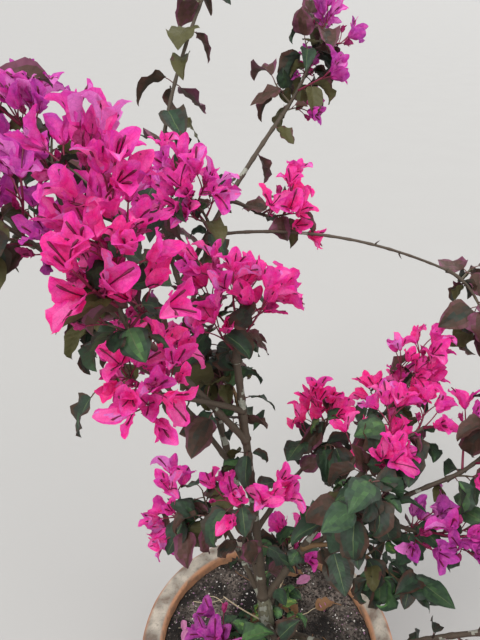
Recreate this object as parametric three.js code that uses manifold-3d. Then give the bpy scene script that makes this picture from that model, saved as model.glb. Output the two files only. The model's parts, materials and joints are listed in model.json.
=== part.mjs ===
// A bougainvillea bush in a round clay pot, in millimetres, +Z up.
// The origin is the middle of the pot's flat underside. A short trunk forks just above the pot into
// thin arching boughs, and each bough ends in a mass of twigs that carry leaves and papery bracts.
import * as THREE from "three";
import { mergeVertices } from "three/addons/utils/BufferGeometryUtils.js";
import Module from "manifold-3d";

const wasm = await Module();
wasm.setup();

// The gap that neighbouring pieces keep, and how much wider still a limb is where it cuts its branches
const CLEARANCE = 0.3;
const CUT_WIDER = 0.05;

// Clay pot: a tapered body with a slight belly, under a thick rolled rim that stands out from it
const POT_HEIGHT = 330;
const RIM_RADIUS = 200;
const RIM_WIDTH = 34;
const RIM_DEPTH = 44;
const COLLAR_STEP = 14;
const FOOT_RADIUS = 138;
const FOOT_ROUND = 5;
const LIP_ROUND = 6;
const ROLL_OUTSIDE = 14;
const ROLL_INSIDE = 9;
const BELLY = 5;
const WALL_BANDS = 3;
const FLOOR_THICKNESS = 20;
const WALL_THICKNESS = 16;
const POT_SIDES = 36;

// Soil inside the pot
const SOIL_LEVEL = 308;
const SOIL_FALL = 4;
const SOIL_FLAT_RADIUS = 60;

// Trunk
const TRUNK_TOP = 430;
const TRUNK_LEAN = { azimuth: 160, reach: 10 };
const TRUNK_RADIUS = 12;
const TRUNK_TIP_RADIUS = 9;
const FLARE_RADIUS = 10;
const FLARE_RATE = 9;

// Limbs and twigs
const TRUNK_SIDES = 10;
const LIMB_SIDES = 5;
const LIMB_STEPS = 5;
const BOUGH_TAPER = 0.7;
const STEM_STEPS = 3;
const STEM_TAPER = 0.72;
const STEM_TURN = 0.4;
const TWIG_SIDES = 3;
const TWIG_RADIUS = 1.9;

// Leaves, a little larger than life because there are fewer of them
const LEAF = { length: 68, width: 46, thickness: 1.8, widest: 0.4 };
const LEAF_SINK = 1.4;
const LEAF_TEST = [[0.3, 0.4], [0.5, 0.35], [0.75, 0.15], [1, 0]];

// Blooms: three papery bracts that stand round a twig's end as one pointed cup
const BRACTS = 3;
const BLOOM = { reach: 42, lift: 28, notch: 0.42, notchLift: 0.3, sink: 4, thickness: 4 };

// How a mass grows: a golden-angle spiral of twigs along its stem, each with a bloom or a leaf at its
// end, and leaves along the twigs and the stem. Angles are in degrees and the rest are shares.
const GOLDEN_ANGLE = 137.5;
const TWIG_SCATTER = 50;
const FIRST_TWIG = 0.1;
const TWIG_OPEN = { least: 42, most: 68 };
const TWIG_REACH = { least: 0.6, most: 0.85 };
const TWIG_TAPER = 0.75;
const TWIG_TRIES = [1, 0.75, 0.5, 0.3, 0.15];
const TWIG_LIFT = 0.25;
const LEAF_OPEN = { least: 45, most: 75 };
const LEAF_DROOP = 0.35;
const LEAF_SCATTER = 50;
const LEAF_TURN = 144;
const LEAF_TRIES = [0, 50, -50, 100, -100];
const TIP_LEAF_OPEN = 40;
const BLOOM_UP = 0.6;
const BLOOM_FLARE = { least: 0.85, most: 1.1 };

// How far a leaf stays from a limb's surface, from its neighbour's half of the gap, from the pot,
// and from the leaves before it
const LIMB_MARGIN = 4;
const NEIGHBOUR_MARGIN = 2;
const POT_MARGIN = 8;
const LEAF_MARGIN = 10;

// Each bough leaves its parent at a share of the parent's length, and runs to its tip by a compass
// angle in degrees, a level reach and a rise, with its middle lifted by arch. radius is at its root.
// Its mass goes on from the tip by a stem's azimuth, pitch and length: twigs that spread this far,
// their number, the share of the ends that bloom, and the leaves on each twig and on the stem.
const BOUGHS = [
  {
    name: "leader", parent: "trunk", at: 1, radius: 6.6,
    azimuth: 135, reach: 55, rise: 400, arch: 25,
    stem: { azimuth: 80, pitch: 48, length: 75 },
    mass: { spread: 82, twigs: 6, bloom: 0.9, leaves: 0, onStem: 3 },
  },
  {
    name: "left_arm", parent: "leader", at: 0.68, radius: 4.6,
    azimuth: -165, reach: 190, rise: 270, arch: 10,
    stem: { azimuth: -165, pitch: 45, length: 80 },
    mass: { spread: 66, twigs: 6, bloom: 0.6, leaves: 0, onStem: 3 },
  },
  {
    name: "front_left_high", parent: "left_arm", at: 0.45, radius: 3.8,
    azimuth: -101, reach: 105, rise: 110, arch: 10,
    stem: { azimuth: 140, pitch: 76, length: 150 },
    mass: { spread: 46, twigs: 8, bloom: 1, leaves: 0, onStem: 3 },
  },
  {
    name: "left_top", parent: "left_arm", at: 0.45, radius: 3.9,
    azimuth: 155, reach: 122, rise: 198, arch: 20,
    stem: { azimuth: 150, pitch: 50, length: 85 },
    mass: { spread: 58, twigs: 6, bloom: 0.8, leaves: 0, onStem: 3 },
  },
  {
    name: "left_mid", parent: "leader", at: 0.8, radius: 3.8,
    azimuth: -145, reach: 92, rise: 62, arch: 5,
    stem: { azimuth: -135, pitch: 45, length: 86 },
    mass: { spread: 68, twigs: 7, bloom: 0.9, leaves: 0, onStem: 3 },
  },
  {
    name: "centre_leafy", parent: "leader", at: 0.5, radius: 3.6,
    azimuth: 110, reach: 55, rise: 100, arch: 5,
    stem: { azimuth: 150, pitch: 35, length: 95 },
    mass: { spread: 76, twigs: 5, bloom: 0.1, leaves: 1, onStem: 5 },
  },
  {
    name: "left_back", parent: "leader", at: 0.45, radius: 4.2,
    azimuth: 140, reach: 190, rise: 120, arch: 25,
    stem: { azimuth: 150, pitch: 40, length: 140 },
    mass: { spread: 62, twigs: 4, bloom: 0.5, leaves: 1, onStem: 3 },
  },
  {
    name: "back_left", parent: "trunk", at: 0.95, radius: 5.8,
    azimuth: 120, reach: 275, rise: 455, arch: 60,
    stem: { azimuth: 74, pitch: 60, length: 400 },
    mass: { spread: 40, twigs: 0, bloom: 0, leaves: 0, onStem: 11 },
  },
  {
    name: "back_left_side", parent: "back_left", at: 0.8, radius: 3.8,
    azimuth: 60, reach: 58, rise: 95, arch: 5,
    stem: { azimuth: -125, pitch: 60, length: 90 },
    mass: { spread: 78, twigs: 7, bloom: 0.9, leaves: 0, onStem: 3 },
  },
  {
    name: "back_high", parent: "back_left", at: 0.9, radius: 4.4,
    azimuth: 50, reach: 240, rise: 205, arch: 20,
    stem: { azimuth: 56, pitch: 43, length: 180 },
    mass: { spread: 84, twigs: 6, bloom: 0.5, leaves: 1, onStem: 4 },
  },
  {
    name: "back_high_side", parent: "back_high", at: 0.45, radius: 3.4,
    azimuth: -15, reach: 45, rise: -15, arch: 4,
    stem: { azimuth: -25, pitch: 5, length: 50 },
    mass: { spread: 50, twigs: 4, bloom: 0.9, leaves: 0, onStem: 2 },
  },
  {
    name: "arching_cane", parent: "back_high", at: 0.25, radius: 3.6,
    azimuth: -4, reach: 360, rise: -45, arch: 55,
    stem: { azimuth: -25, pitch: -50, length: 120 },
    mass: { spread: 54, twigs: 3, bloom: 0, leaves: 1, onStem: 2 },
  },
  {
    name: "low_left", parent: "trunk", at: 0.8, radius: 4.6,
    azimuth: 140, reach: 80, rise: 120, arch: 10,
    stem: { azimuth: 180, pitch: 12, length: 75 },
    mass: { spread: 60, twigs: 4, bloom: 0.7, leaves: 1, onStem: 2 },
  },
  {
    name: "low_centre", parent: "low_left", at: 0.55, radius: 3.6,
    azimuth: -80, reach: 30, rise: 120, arch: 5,
    stem: { azimuth: -110, pitch: 65, length: 55 },
    mass: { spread: 48, twigs: 2, bloom: 0.9, leaves: 0, onStem: 2 },
  },
  {
    name: "low_front", parent: "trunk", at: 0.45, radius: 3.6,
    azimuth: -160, reach: 40, rise: 8, arch: 10,
    stem: { azimuth: -150, pitch: 0, length: 45 },
    mass: { spread: 36, twigs: 4, bloom: 0.8, leaves: 0, onStem: 3 },
  },
  {
    name: "low_back", parent: "trunk", at: 0.6, radius: 4,
    azimuth: 65, reach: 70, rise: 22, arch: 10,
    stem: { azimuth: 80, pitch: 0, length: 60 },
    mass: { spread: 44, twigs: 3, bloom: 0.5, leaves: 0, onStem: 3 },
  },
  {
    name: "centre_back", parent: "leader", at: 0.3, radius: 3.8,
    azimuth: 50, reach: 125, rise: 35, arch: 10,
    stem: { azimuth: 50, pitch: 50, length: 75 },
    mass: { spread: 54, twigs: 4, bloom: 0.9, leaves: 0, onStem: 3 },
  },
  {
    name: "right", parent: "trunk", at: 0.9, radius: 5.6,
    azimuth: 15, reach: 125, rise: 215, arch: 10,
    stem: { azimuth: 12, pitch: 42, length: 120 },
    mass: { spread: 55, twigs: 6, bloom: 0.9, leaves: 0, onStem: 3 },
  },
  {
    name: "right_back", parent: "right", at: 0.6, radius: 4,
    azimuth: 48, reach: 135, rise: 100, arch: 15,
    stem: { azimuth: 32, pitch: 44, length: 125 },
    mass: { spread: 55, twigs: 6, bloom: 0.9, leaves: 0, onStem: 3 },
  },
  {
    name: "right_low", parent: "right", at: 0.75, radius: 4,
    azimuth: -20, reach: 90, rise: 10, arch: 15,
    stem: { azimuth: -15, pitch: 8, length: 120 },
    mass: { spread: 80, twigs: 7, bloom: 0.9, leaves: 0, onStem: 3 },
  },
  {
    name: "right_tail", parent: "right", at: 0.45, radius: 3.6,
    azimuth: -20, reach: 75, rise: 25, arch: 20,
    stem: { azimuth: -25, pitch: -25, length: 75 },
    mass: { spread: 60, twigs: 4, bloom: 0, leaves: 1, onStem: 4 },
  },
  {
    name: "right_leafy", parent: "right", at: 0.62, radius: 3.6,
    azimuth: -60, reach: 40, rise: 60, arch: 5,
    stem: { azimuth: -20, pitch: 50, length: 75 },
    mass: { spread: 62, twigs: 4, bloom: 0.1, leaves: 1, onStem: 4 },
  },
  {
    name: "right_far", parent: "right", at: 0.4, radius: 4.2,
    azimuth: 0, reach: 190, rise: 150, arch: 20,
    stem: { azimuth: 5, pitch: 60, length: 150 },
    mass: { spread: 80, twigs: 6, bloom: 0.8, leaves: 0, onStem: 4 },
  },
  {
    name: "front_left", parent: "trunk", at: 0.4, radius: 5.2,
    azimuth: -125, reach: 205, rise: 125, arch: 30,
    stem: { azimuth: -120, pitch: 36, length: 165 },
    mass: { spread: 88, twigs: 5, bloom: 0.7, leaves: 1, onStem: 2 },
  },
  {
    name: "front", parent: "trunk", at: 0.45, radius: 5,
    azimuth: -85, reach: 195, rise: 165, arch: 35,
    stem: { azimuth: -83, pitch: 26, length: 150 },
    mass: { spread: 84, twigs: 4, bloom: 0.7, leaves: 1, onStem: 2 },
  },
  {
    name: "front_right", parent: "trunk", at: 0.35, radius: 5.2,
    azimuth: -50, reach: 225, rise: 175, arch: 30,
    stem: { azimuth: -55, pitch: 36, length: 165 },
    mass: { spread: 88, twigs: 5, bloom: 0.7, leaves: 1, onStem: 2 },
  },
  {
    name: "right_front", parent: "front_right", at: 0.7, radius: 4,
    azimuth: -15, reach: 155, rise: 120, arch: 20,
    stem: { azimuth: -12, pitch: 45, length: 150 },
    mass: { spread: 84, twigs: 5, bloom: 0.8, leaves: 0, onStem: 3 },
  },
  {
    name: "left_far", parent: "front_left", at: 0.7, radius: 4,
    azimuth: -150, reach: 200, rise: 60, arch: 20,
    stem: { azimuth: -160, pitch: 18, length: 150 },
    mass: { spread: 70, twigs: 4, bloom: 0.8, leaves: 1, onStem: 2 },
  },
];

// A mass with at least this share of blooming ends is named and coloured as a blooming one
const BLOOMING_SHARE = 0.5;

// The seeded stream: each mass draws its own numbers
const FIRST_SEED = 4021;
const SEED_STEP = 977;
const STREAM_FACTOR = 16807;
const STREAM_MODULUS = 2147483647;

const UP = new THREE.Vector3(0, 0, 1);
const NEARLY_UPRIGHT = 1e-3;
const MERGE_WITHIN = 1e-4;

// Fired clay, damp soil, bark, leaves and papery bracts, none of them metal
const matte = (color, roughness) => new THREE.MeshStandardMaterial({ color, roughness, metalness: 0 });
const CLAY = matte("#b07a52", 0.85);
const SOIL = matte("#3b3733", 0.95);
const BARK = matte("#4f4236", 0.8);
const LEAFY = matte("#33502f", 0.55);
const BLOOMING = matte("#d4237f", 0.6);

// Numbers from 0 to 1 that are the same on every run
function seededStream(seed) {
  let state = seed;
  return () => {
    state = (state * STREAM_FACTOR) % STREAM_MODULUS;
    return state / STREAM_MODULUS;
  };
}

const mix = (low, high, share) => low + (high - low) * share;
const radians = THREE.MathUtils.degToRad;

// A direction by compass angle and pitch above level, in degrees
function heading(azimuth, pitch = 0) {
  const level = Math.cos(radians(pitch));
  return new THREE.Vector3(
    level * Math.cos(radians(azimuth)),
    level * Math.sin(radians(azimuth)),
    Math.sin(radians(pitch)),
  );
}

// Two directions square to this one, the first of them level
function sideways(direction) {
  const level = new THREE.Vector3().crossVectors(UP, direction);
  if (level.length() < NEARLY_UPRIGHT) {
    level.set(1, 0, 0);
  }
  level.normalize();
  return [level, new THREE.Vector3().crossVectors(direction, level).normalize()];
}

// A closed geometry as a solid, with its shared corners merged
function toSolid(geometry) {
  geometry.deleteAttribute("normal");
  geometry.deleteAttribute("uv");
  const merged = mergeVertices(geometry, MERGE_WITHIN);
  return new wasm.Manifold(
    new wasm.Mesh({
      numProp: 3,
      vertProperties: merged.attributes.position.array,
      triVerts: new Uint32Array(merged.index.array),
    }),
  );
}

// A tapering limb: a cylinder's rings, each set square to the curve at its own share of the way.
// A clearance makes it wider and longer all round.
function limbSolid(curve, radiusAt, sides, steps, clearance = 0) {
  const geometry = new THREE.CylinderGeometry(1, 1, 1, sides, steps);
  const corners = geometry.attributes.position;
  for (let i = 0; i < corners.count; i++) {
    const share = Math.round((corners.getY(i) + 0.5) * steps) / steps;
    const along = curve.getTangent(share);
    const [level, steep] = sideways(along);
    const radius = radiusAt(share) + clearance;
    const longer = clearance * Math.sign(Math.round(2 * share - 1));
    const corner = curve
      .getPoint(share)
      .addScaledVector(along, longer)
      .addScaledVector(steep, corners.getX(i) * radius)
      .addScaledVector(level, corners.getZ(i) * radius);
    corners.setXYZ(i, corner.x, corner.y, corner.z);
  }
  return toSolid(geometry);
}

// A leaf: a thin octahedron, widest nearer its foot, which is sunk in what carries it
function leafSolid({ base, along, across, facing }) {
  const geometry = new THREE.OctahedronGeometry(1);
  const corners = geometry.attributes.position;
  for (let i = 0; i < corners.count; i++) {
    const isEnd = Math.abs(corners.getX(i)) > 0.5;
    corners.setX(i, isEnd ? corners.getX(i) : 2 * LEAF.widest - 1);
  }
  geometry.scale(LEAF.length / 2, LEAF.width / 2, LEAF.thickness / 2);
  geometry.translate(LEAF.length / 2 - LEAF_SINK, 0, 0);
  geometry.applyMatrix4(new THREE.Matrix4().makeBasis(along, across, facing).setPosition(base));
  return toSolid(geometry);
}

// The rim of a bloom's cup at each half step round it: a bract's point, or the notch between two
function bloomRim(step, flare) {
  const isPoint = step % 2 === 0;
  return {
    reach: BLOOM.reach * flare * (isPoint ? 1 : BLOOM.notch),
    lift: BLOOM.lift * (isPoint ? 1 : BLOOM.notchLift),
  };
}

// A bloom: a turned double cone whose rim is drawn out and up into a cup of pointed bracts
function bloomSolid({ base, axis, across, turn, flare }) {
  const profile = [
    new THREE.Vector2(0, -BLOOM.sink),
    new THREE.Vector2(1, 0),
    new THREE.Vector2(0, BLOOM.thickness - BLOOM.sink),
  ];
  const geometry = new THREE.LatheGeometry(profile, 2 * BRACTS);
  const corners = geometry.attributes.position;
  for (let i = 0; i < corners.count; i++) {
    const onRim = Math.hypot(corners.getX(i), corners.getZ(i)) > 0.5;
    const angle = Math.atan2(corners.getX(i), corners.getZ(i));
    const { reach, lift } = bloomRim(Math.round((angle * BRACTS) / Math.PI), flare);
    if (onRim) {
      corners.setXYZ(i, corners.getX(i) * reach, lift, corners.getZ(i) * reach);
    }
  }
  geometry.rotateY(turn);
  const third = new THREE.Vector3().crossVectors(across, axis);
  geometry.applyMatrix4(new THREE.Matrix4().makeBasis(across, axis, third).setPosition(base));
  return toSolid(geometry);
}

// Points of a leaf that are tested against its neighbours: along its middle and both its edges
function leafPoints({ base, along, across }) {
  return LEAF_TEST.flatMap(([share, side]) =>
    [-side, 0, side].map((offset) =>
      base
        .clone()
        .addScaledVector(along, LEAF.length * share)
        .addScaledVector(across, LEAF.width * offset),
    ),
  );
}

// Points of a bloom that are tested: round the rim of its cup, and half way in
function bloomPoints({ base, axis, across, turn, flare }) {
  const third = new THREE.Vector3().crossVectors(across, axis);
  const points = [];
  for (let step = 0; step < 2 * BRACTS; step++) {
    const angle = (step * Math.PI) / BRACTS + turn;
    const { reach, lift } = bloomRim(step, flare);
    const rim = base
      .clone()
      .addScaledVector(across, Math.sin(angle) * reach)
      .addScaledVector(third, Math.cos(angle) * reach)
      .addScaledVector(axis, lift);
    points.push(rim, base.clone().lerp(rim, 0.5));
  }
  return points;
}

// A bough's curve, from its parent's axis to its tip, its middle lifted by arch
function boughCurve(bough, parentCurve) {
  const start = parentCurve.getPoint(bough.at);
  const tip = start
    .clone()
    .addScaledVector(heading(bough.azimuth), bough.reach)
    .addScaledVector(UP, bough.rise);
  const middle = start.clone().lerp(tip, 0.5).addScaledVector(UP, bough.arch);
  return new THREE.QuadraticBezierCurve3(start, middle, tip);
}

// A mass's stem: it leaves the bough's tip in line with it, and turns to its own heading
function stemCurve(stem, curve) {
  const along = curve.getTangent(1);
  const start = curve.getPoint(1).addScaledVector(along, CLEARANCE);
  const end = start.clone().addScaledVector(heading(stem.azimuth, stem.pitch), stem.length);
  const middle = start.clone().addScaledVector(along, stem.length * STEM_TURN);
  return new THREE.QuadraticBezierCurve3(start, middle, end);
}

// Direction at an opening angle from an axis, turned round it
function openedFrom(axis, open, turn) {
  const [level, steep] = sideways(axis);
  const outward = level
    .multiplyScalar(Math.cos(radians(turn)))
    .addScaledVector(steep, Math.sin(radians(turn)));
  return axis
    .clone()
    .multiplyScalar(Math.cos(radians(open)))
    .addScaledVector(outward, Math.sin(radians(open)))
    .normalize();
}

// A leaf that leaves an axis at an angle, droops, and faces the sky
function leafAt(base, axis, open, turn) {
  const along = openedFrom(axis, open, turn).addScaledVector(UP, -LEAF_DROOP).normalize();
  const [across, facing] = sideways(along);
  return { solid: leafSolid, points: leafPoints, base, along, across, facing };
}

// A bloom that opens upwards from a twig's end
function bloomAt(base, along, turn, flare) {
  const axis = along.clone().addScaledVector(UP, BLOOM_UP).normalize();
  const [across] = sideways(axis);
  return { solid: bloomSolid, points: bloomPoints, base, axis, across, turn: radians(turn), flare };
}

// The twigs, blooms and leaves of a mass along its stem. A twig takes the longest length whose end
// keeps clear, a leaf the first turn that does, and one that has none is skipped. Every number is
// drawn before its test.
function growMass(mass, stem, draw, isClear) {
  const twigs = [];
  const blades = [];
  const isFree = (blade) => {
    const taken = blades.flatMap((other) => other.points(other));
    const isApart = (point) => taken.every((near) => near.distanceTo(point) > LEAF_MARGIN);
    const points = blade.points(blade);
    return isClear(points) && points.every(isApart);
  };
  const addLeaf = (base, axis, open, turn) => {
    const leaf = LEAF_TRIES.map((more) => leafAt(base, axis, open, turn + more)).find(isFree);
    if (leaf) {
      blades.push(leaf);
    }
  };
  const drawEnd = () => ({ blooms: draw() < mass.bloom, turn: draw() * 360, flare: draw() });
  const endAt = (base, along, { blooms, turn, flare }) =>
    blooms
      ? bloomAt(base, along, turn, mix(BLOOM_FLARE.least, BLOOM_FLARE.most, flare))
      : leafAt(base, along, TIP_LEAF_OPEN, turn);

  const topEnd = endAt(stem.getPoint(1), stem.getTangent(1), drawEnd());
  if (isFree(topEnd)) {
    blades.push(topEnd);
  }
  for (let i = 0; i < mass.twigs; i++) {
    const share = mix(FIRST_TWIG, 1, (i + 0.5) / mass.twigs);
    const turn = i * GOLDEN_ANGLE + draw() * TWIG_SCATTER;
    const open = mix(TWIG_OPEN.least, TWIG_OPEN.most, draw());
    const fullReach = mass.spread * mix(TWIG_REACH.least, TWIG_REACH.most, draw());
    const reach = fullReach * mix(1, TWIG_TAPER, share);
    const end = drawEnd();
    const leafDraws = Array.from({ length: mass.leaves }, () => [draw(), draw()]);
    const start = stem.getPoint(share);
    const along = openedFrom(stem.getTangent(share), open, turn)
      .addScaledVector(UP, TWIG_LIFT)
      .normalize();
    const twig = TWIG_TRIES.map((cut) => {
      const tip = start.clone().addScaledVector(along, reach * cut);
      return { line: new THREE.LineCurve3(start, tip), blade: endAt(tip, along, end) };
    }).find(({ line, blade }) => isClear([line.getPoint(0.5), line.getPoint(1)]) && isFree(blade));
    if (!twig) {
      continue;
    }
    twigs.push(twig.line);
    blades.push(twig.blade);
    leafDraws.forEach(([openDraw, turnDraw], j) => {
      const leafOpen = mix(LEAF_OPEN.least, LEAF_OPEN.most, openDraw);
      const leafTurn = turn + j * LEAF_TURN + turnDraw * LEAF_SCATTER;
      addLeaf(twig.line.getPoint((j + 1) / (mass.leaves + 1)), along, leafOpen, leafTurn);
    });
  }
  for (let i = 0; i < mass.onStem; i++) {
    const share = (i + 0.5) / mass.onStem;
    const open = mix(LEAF_OPEN.least, LEAF_OPEN.most, draw());
    const turn = i * LEAF_TURN + draw() * LEAF_SCATTER;
    addLeaf(stem.getPoint(share), stem.getTangent(share), open, turn);
  }
  return { twigs, blades };
}

// Distance from a point to a run of points
function distanceTo(point, run) {
  let least = Infinity;
  const nearest = new THREE.Vector3();
  const span = new THREE.Line3();
  for (let i = 1; i < run.length; i++) {
    span.set(run[i - 1], run[i]);
    span.closestPointToPoint(point, true, nearest);
    least = Math.min(least, nearest.distanceTo(point));
  }
  return least;
}

// Whether points keep to a mass's own space: nearer its stem than any other's, and off limbs and pot
function keepsClear(points, own, stems, limbs) {
  return points.every((point) => {
    const home = distanceTo(point, own.run);
    return (
      point.z > POT_HEIGHT + POT_MARGIN &&
      stems.every((stem) => stem === own || distanceTo(point, stem.run) > home + NEIGHBOUR_MARGIN) &&
      limbs.every((limb) => distanceTo(point, limb.run) > limb.radius + LIMB_MARGIN)
    );
  });
}

// Points of a round corner of an outline, from one angle to another in degrees
function roundCorner(centreRadius, centreHeight, round, from, to) {
  return [0, 0.5, 1].map((share) => {
    const angle = radians(mix(from, to, share));
    return [centreRadius + round * Math.cos(angle), centreHeight + round * Math.sin(angle)];
  });
}

// Pot outline: flat foot, bellied wall, rolled rim, and the inner wall down to the floor
function potProfile() {
  const under = POT_HEIGHT - RIM_DEPTH;
  const neck = RIM_RADIUS - COLLAR_STEP;
  const inside = RIM_RADIUS - RIM_WIDTH;
  const wall = [1, 2].map((band) => [
    mix(FOOT_RADIUS, neck, band / WALL_BANDS) + BELLY * Math.sin((Math.PI * band) / WALL_BANDS),
    mix(FOOT_ROUND, under, band / WALL_BANDS),
  ]);
  return [
    [0, 0],
    ...roundCorner(FOOT_RADIUS - FOOT_ROUND, FOOT_ROUND, FOOT_ROUND, -90, 0),
    ...wall,
    [neck, under],
    ...roundCorner(RIM_RADIUS - LIP_ROUND, under + LIP_ROUND, LIP_ROUND, -90, 0),
    ...roundCorner(RIM_RADIUS - ROLL_OUTSIDE, POT_HEIGHT - ROLL_OUTSIDE, ROLL_OUTSIDE, 0, 90),
    ...roundCorner(inside + ROLL_INSIDE, POT_HEIGHT - ROLL_INSIDE, ROLL_INSIDE, 90, 180),
    [inside, under],
    [FOOT_RADIUS - WALL_THICKNESS, FLOOR_THICKNESS],
    [0, FLOOR_THICKNESS],
  ];
}

// Soil outline: it fills the pot to its level, and falls a little towards the wall
function soilProfile() {
  const inside = RIM_RADIUS - RIM_WIDTH - CLEARANCE;
  return [
    [0, FLOOR_THICKNESS + CLEARANCE],
    [FOOT_RADIUS - WALL_THICKNESS - 2 * CLEARANCE, FLOOR_THICKNESS + CLEARANCE],
    [inside, POT_HEIGHT - RIM_DEPTH],
    [inside, SOIL_LEVEL - SOIL_FALL],
    [SOIL_FLAT_RADIUS, SOIL_LEVEL],
    [0, SOIL_LEVEL],
  ];
}

// A solid turned about Z from its outline
function turned(profile) {
  const points = profile.map(([radius, height]) => new THREE.Vector2(radius, height));
  return toSolid(new THREE.LatheGeometry(points, POT_SIDES).rotateX(Math.PI / 2));
}

// Trunk curve, straight up from its flat cut on the soil and then leaning to its fork
function trunkCurve() {
  const foot = new THREE.Vector3(0, 0, SOIL_LEVEL + CLEARANCE);
  const fork = heading(TRUNK_LEAN.azimuth).multiplyScalar(TRUNK_LEAN.reach).setZ(TRUNK_TOP);
  return new THREE.QuadraticBezierCurve3(foot, foot.clone().setZ(mix(foot.z, fork.z, 0.5)), fork);
}

const trunkRadiusAt = (share) =>
  mix(TRUNK_RADIUS, TRUNK_TIP_RADIUS, share) + FLARE_RADIUS * Math.exp(-FLARE_RATE * share);

// The largest body of a solid: scraps that a cut leaves are dropped, and sealed pockets are filled
const largestBody = (solid) =>
  solid.decompose().reduce((best, body) => (body.volume() > best.volume() ? body : best));

// A named mesh of a solid
function meshOf(name, solid, material) {
  const { vertProperties, triVerts, numProp } = solid.getMesh();
  const geometry = new THREE.BufferGeometry();
  geometry.setAttribute("position", new THREE.BufferAttribute(vertProperties, numProp));
  geometry.setIndex(new THREE.BufferAttribute(triVerts, 1));
  const mesh = new THREE.Mesh(geometry, material);
  mesh.name = name;
  return mesh;
}

// Trunk and boughs, each bough cut clear of the limbs before it
function makeLimbs() {
  const trunk = trunkCurve();
  const curves = { trunk };
  const limbs = [{ run: trunk.getPoints(LIMB_STEPS), radius: TRUNK_RADIUS }];
  const meshes = [meshOf("trunk", limbSolid(trunk, trunkRadiusAt, TRUNK_SIDES, LIMB_STEPS), BARK)];
  let cutter = limbSolid(trunk, trunkRadiusAt, TRUNK_SIDES, LIMB_STEPS, CLEARANCE + CUT_WIDER);
  for (const bough of BOUGHS) {
    const curve = boughCurve(bough, curves[bough.parent]);
    const radiusAt = (share) => bough.radius * mix(1, BOUGH_TAPER, share);
    const solid = limbSolid(curve, radiusAt, LIMB_SIDES, LIMB_STEPS);
    meshes.push(meshOf(`bough_${bough.name}`, largestBody(solid.subtract(cutter)), BARK));
    cutter = cutter.add(limbSolid(curve, radiusAt, LIMB_SIDES, LIMB_STEPS, CLEARANCE + CUT_WIDER));
    curves[bough.name] = curve;
    limbs.push({ run: curve.getPoints(LIMB_STEPS), radius: bough.radius });
  }
  return { curves, limbs, meshes };
}

// Masses, each in its own space beyond its bough's tip
function makeMasses(curves, limbs) {
  const stems = BOUGHS.map((bough) => {
    const curve = stemCurve(bough.stem, curves[bough.name]);
    return { curve, run: curve.getPoints(STEM_STEPS) };
  });
  return BOUGHS.map(({ name, radius, mass }, index) => {
    const own = stems[index];
    const draw = seededStream(FIRST_SEED + index * SEED_STEP);
    const isClear = (points) => keepsClear(points, own, stems, limbs);
    const { twigs, blades } = growMass(mass, own.curve, draw, isClear);
    const root = radius * BOUGH_TAPER;
    const pieces = [
      limbSolid(own.curve, (share) => root * mix(1, STEM_TAPER, share), LIMB_SIDES, STEM_STEPS),
      ...twigs.map((line) => limbSolid(line, () => TWIG_RADIUS, TWIG_SIDES, 1)),
      ...blades.map((blade) => blade.solid(blade)),
    ];
    const fused = largestBody(wasm.Manifold.union(pieces));
    return mass.bloom >= BLOOMING_SHARE
      ? meshOf(`bloom_mass_${name}`, fused, BLOOMING)
      : meshOf(`leaf_mass_${name}`, fused, LEAFY);
  });
}

const plant = new THREE.Group();
const { curves, limbs, meshes } = makeLimbs();
plant.add(meshOf("pot", turned(potProfile()), CLAY));
plant.add(meshOf("soil", turned(soilProfile()), SOIL));
plant.add(...meshes, ...makeMasses(curves, limbs));

export default plant;
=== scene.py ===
"""A bougainvillea bush in a clay pot: its finishes and its fine growth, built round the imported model."""

import json
import math
from collections import namedtuple
from functools import cache
from typing import Callable, NamedTuple

import bpy
import numpy as np
from bpy.props import FloatProperty, FloatVectorProperty, IntProperty, PointerProperty
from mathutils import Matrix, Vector, noise

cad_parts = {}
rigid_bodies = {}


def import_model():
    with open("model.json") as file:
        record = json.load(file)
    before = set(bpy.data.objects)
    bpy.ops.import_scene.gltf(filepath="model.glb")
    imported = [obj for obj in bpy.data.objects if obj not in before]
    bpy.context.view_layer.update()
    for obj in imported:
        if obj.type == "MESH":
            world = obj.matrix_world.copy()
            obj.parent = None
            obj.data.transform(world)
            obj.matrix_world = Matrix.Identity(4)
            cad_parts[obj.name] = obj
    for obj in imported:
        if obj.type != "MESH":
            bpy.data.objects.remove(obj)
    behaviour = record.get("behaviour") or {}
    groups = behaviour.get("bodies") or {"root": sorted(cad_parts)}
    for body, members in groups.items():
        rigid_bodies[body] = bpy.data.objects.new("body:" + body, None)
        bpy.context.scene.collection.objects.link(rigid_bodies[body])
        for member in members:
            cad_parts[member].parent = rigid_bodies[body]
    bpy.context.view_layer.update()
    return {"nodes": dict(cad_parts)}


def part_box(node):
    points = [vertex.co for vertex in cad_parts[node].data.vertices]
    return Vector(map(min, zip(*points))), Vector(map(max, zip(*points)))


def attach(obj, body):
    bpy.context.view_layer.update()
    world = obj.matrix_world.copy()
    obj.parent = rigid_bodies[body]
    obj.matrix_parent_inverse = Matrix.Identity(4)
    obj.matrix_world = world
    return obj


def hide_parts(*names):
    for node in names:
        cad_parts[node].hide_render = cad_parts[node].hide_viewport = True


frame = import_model()

bl_info = {
    "name": "Potted Bougainvillea",
    "version": (1, 0, 0),
    "blender": (4, 5, 0),
    "location": "View3D > Sidebar > Bougainvillea",
    "description": "Dresses a bougainvillea bush and its clay pot round their packed model",
    "category": "Add Mesh",
}

# The plant grows in millimetres, as its solids do, and its pieces are made in metres
MM = 0.001

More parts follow.
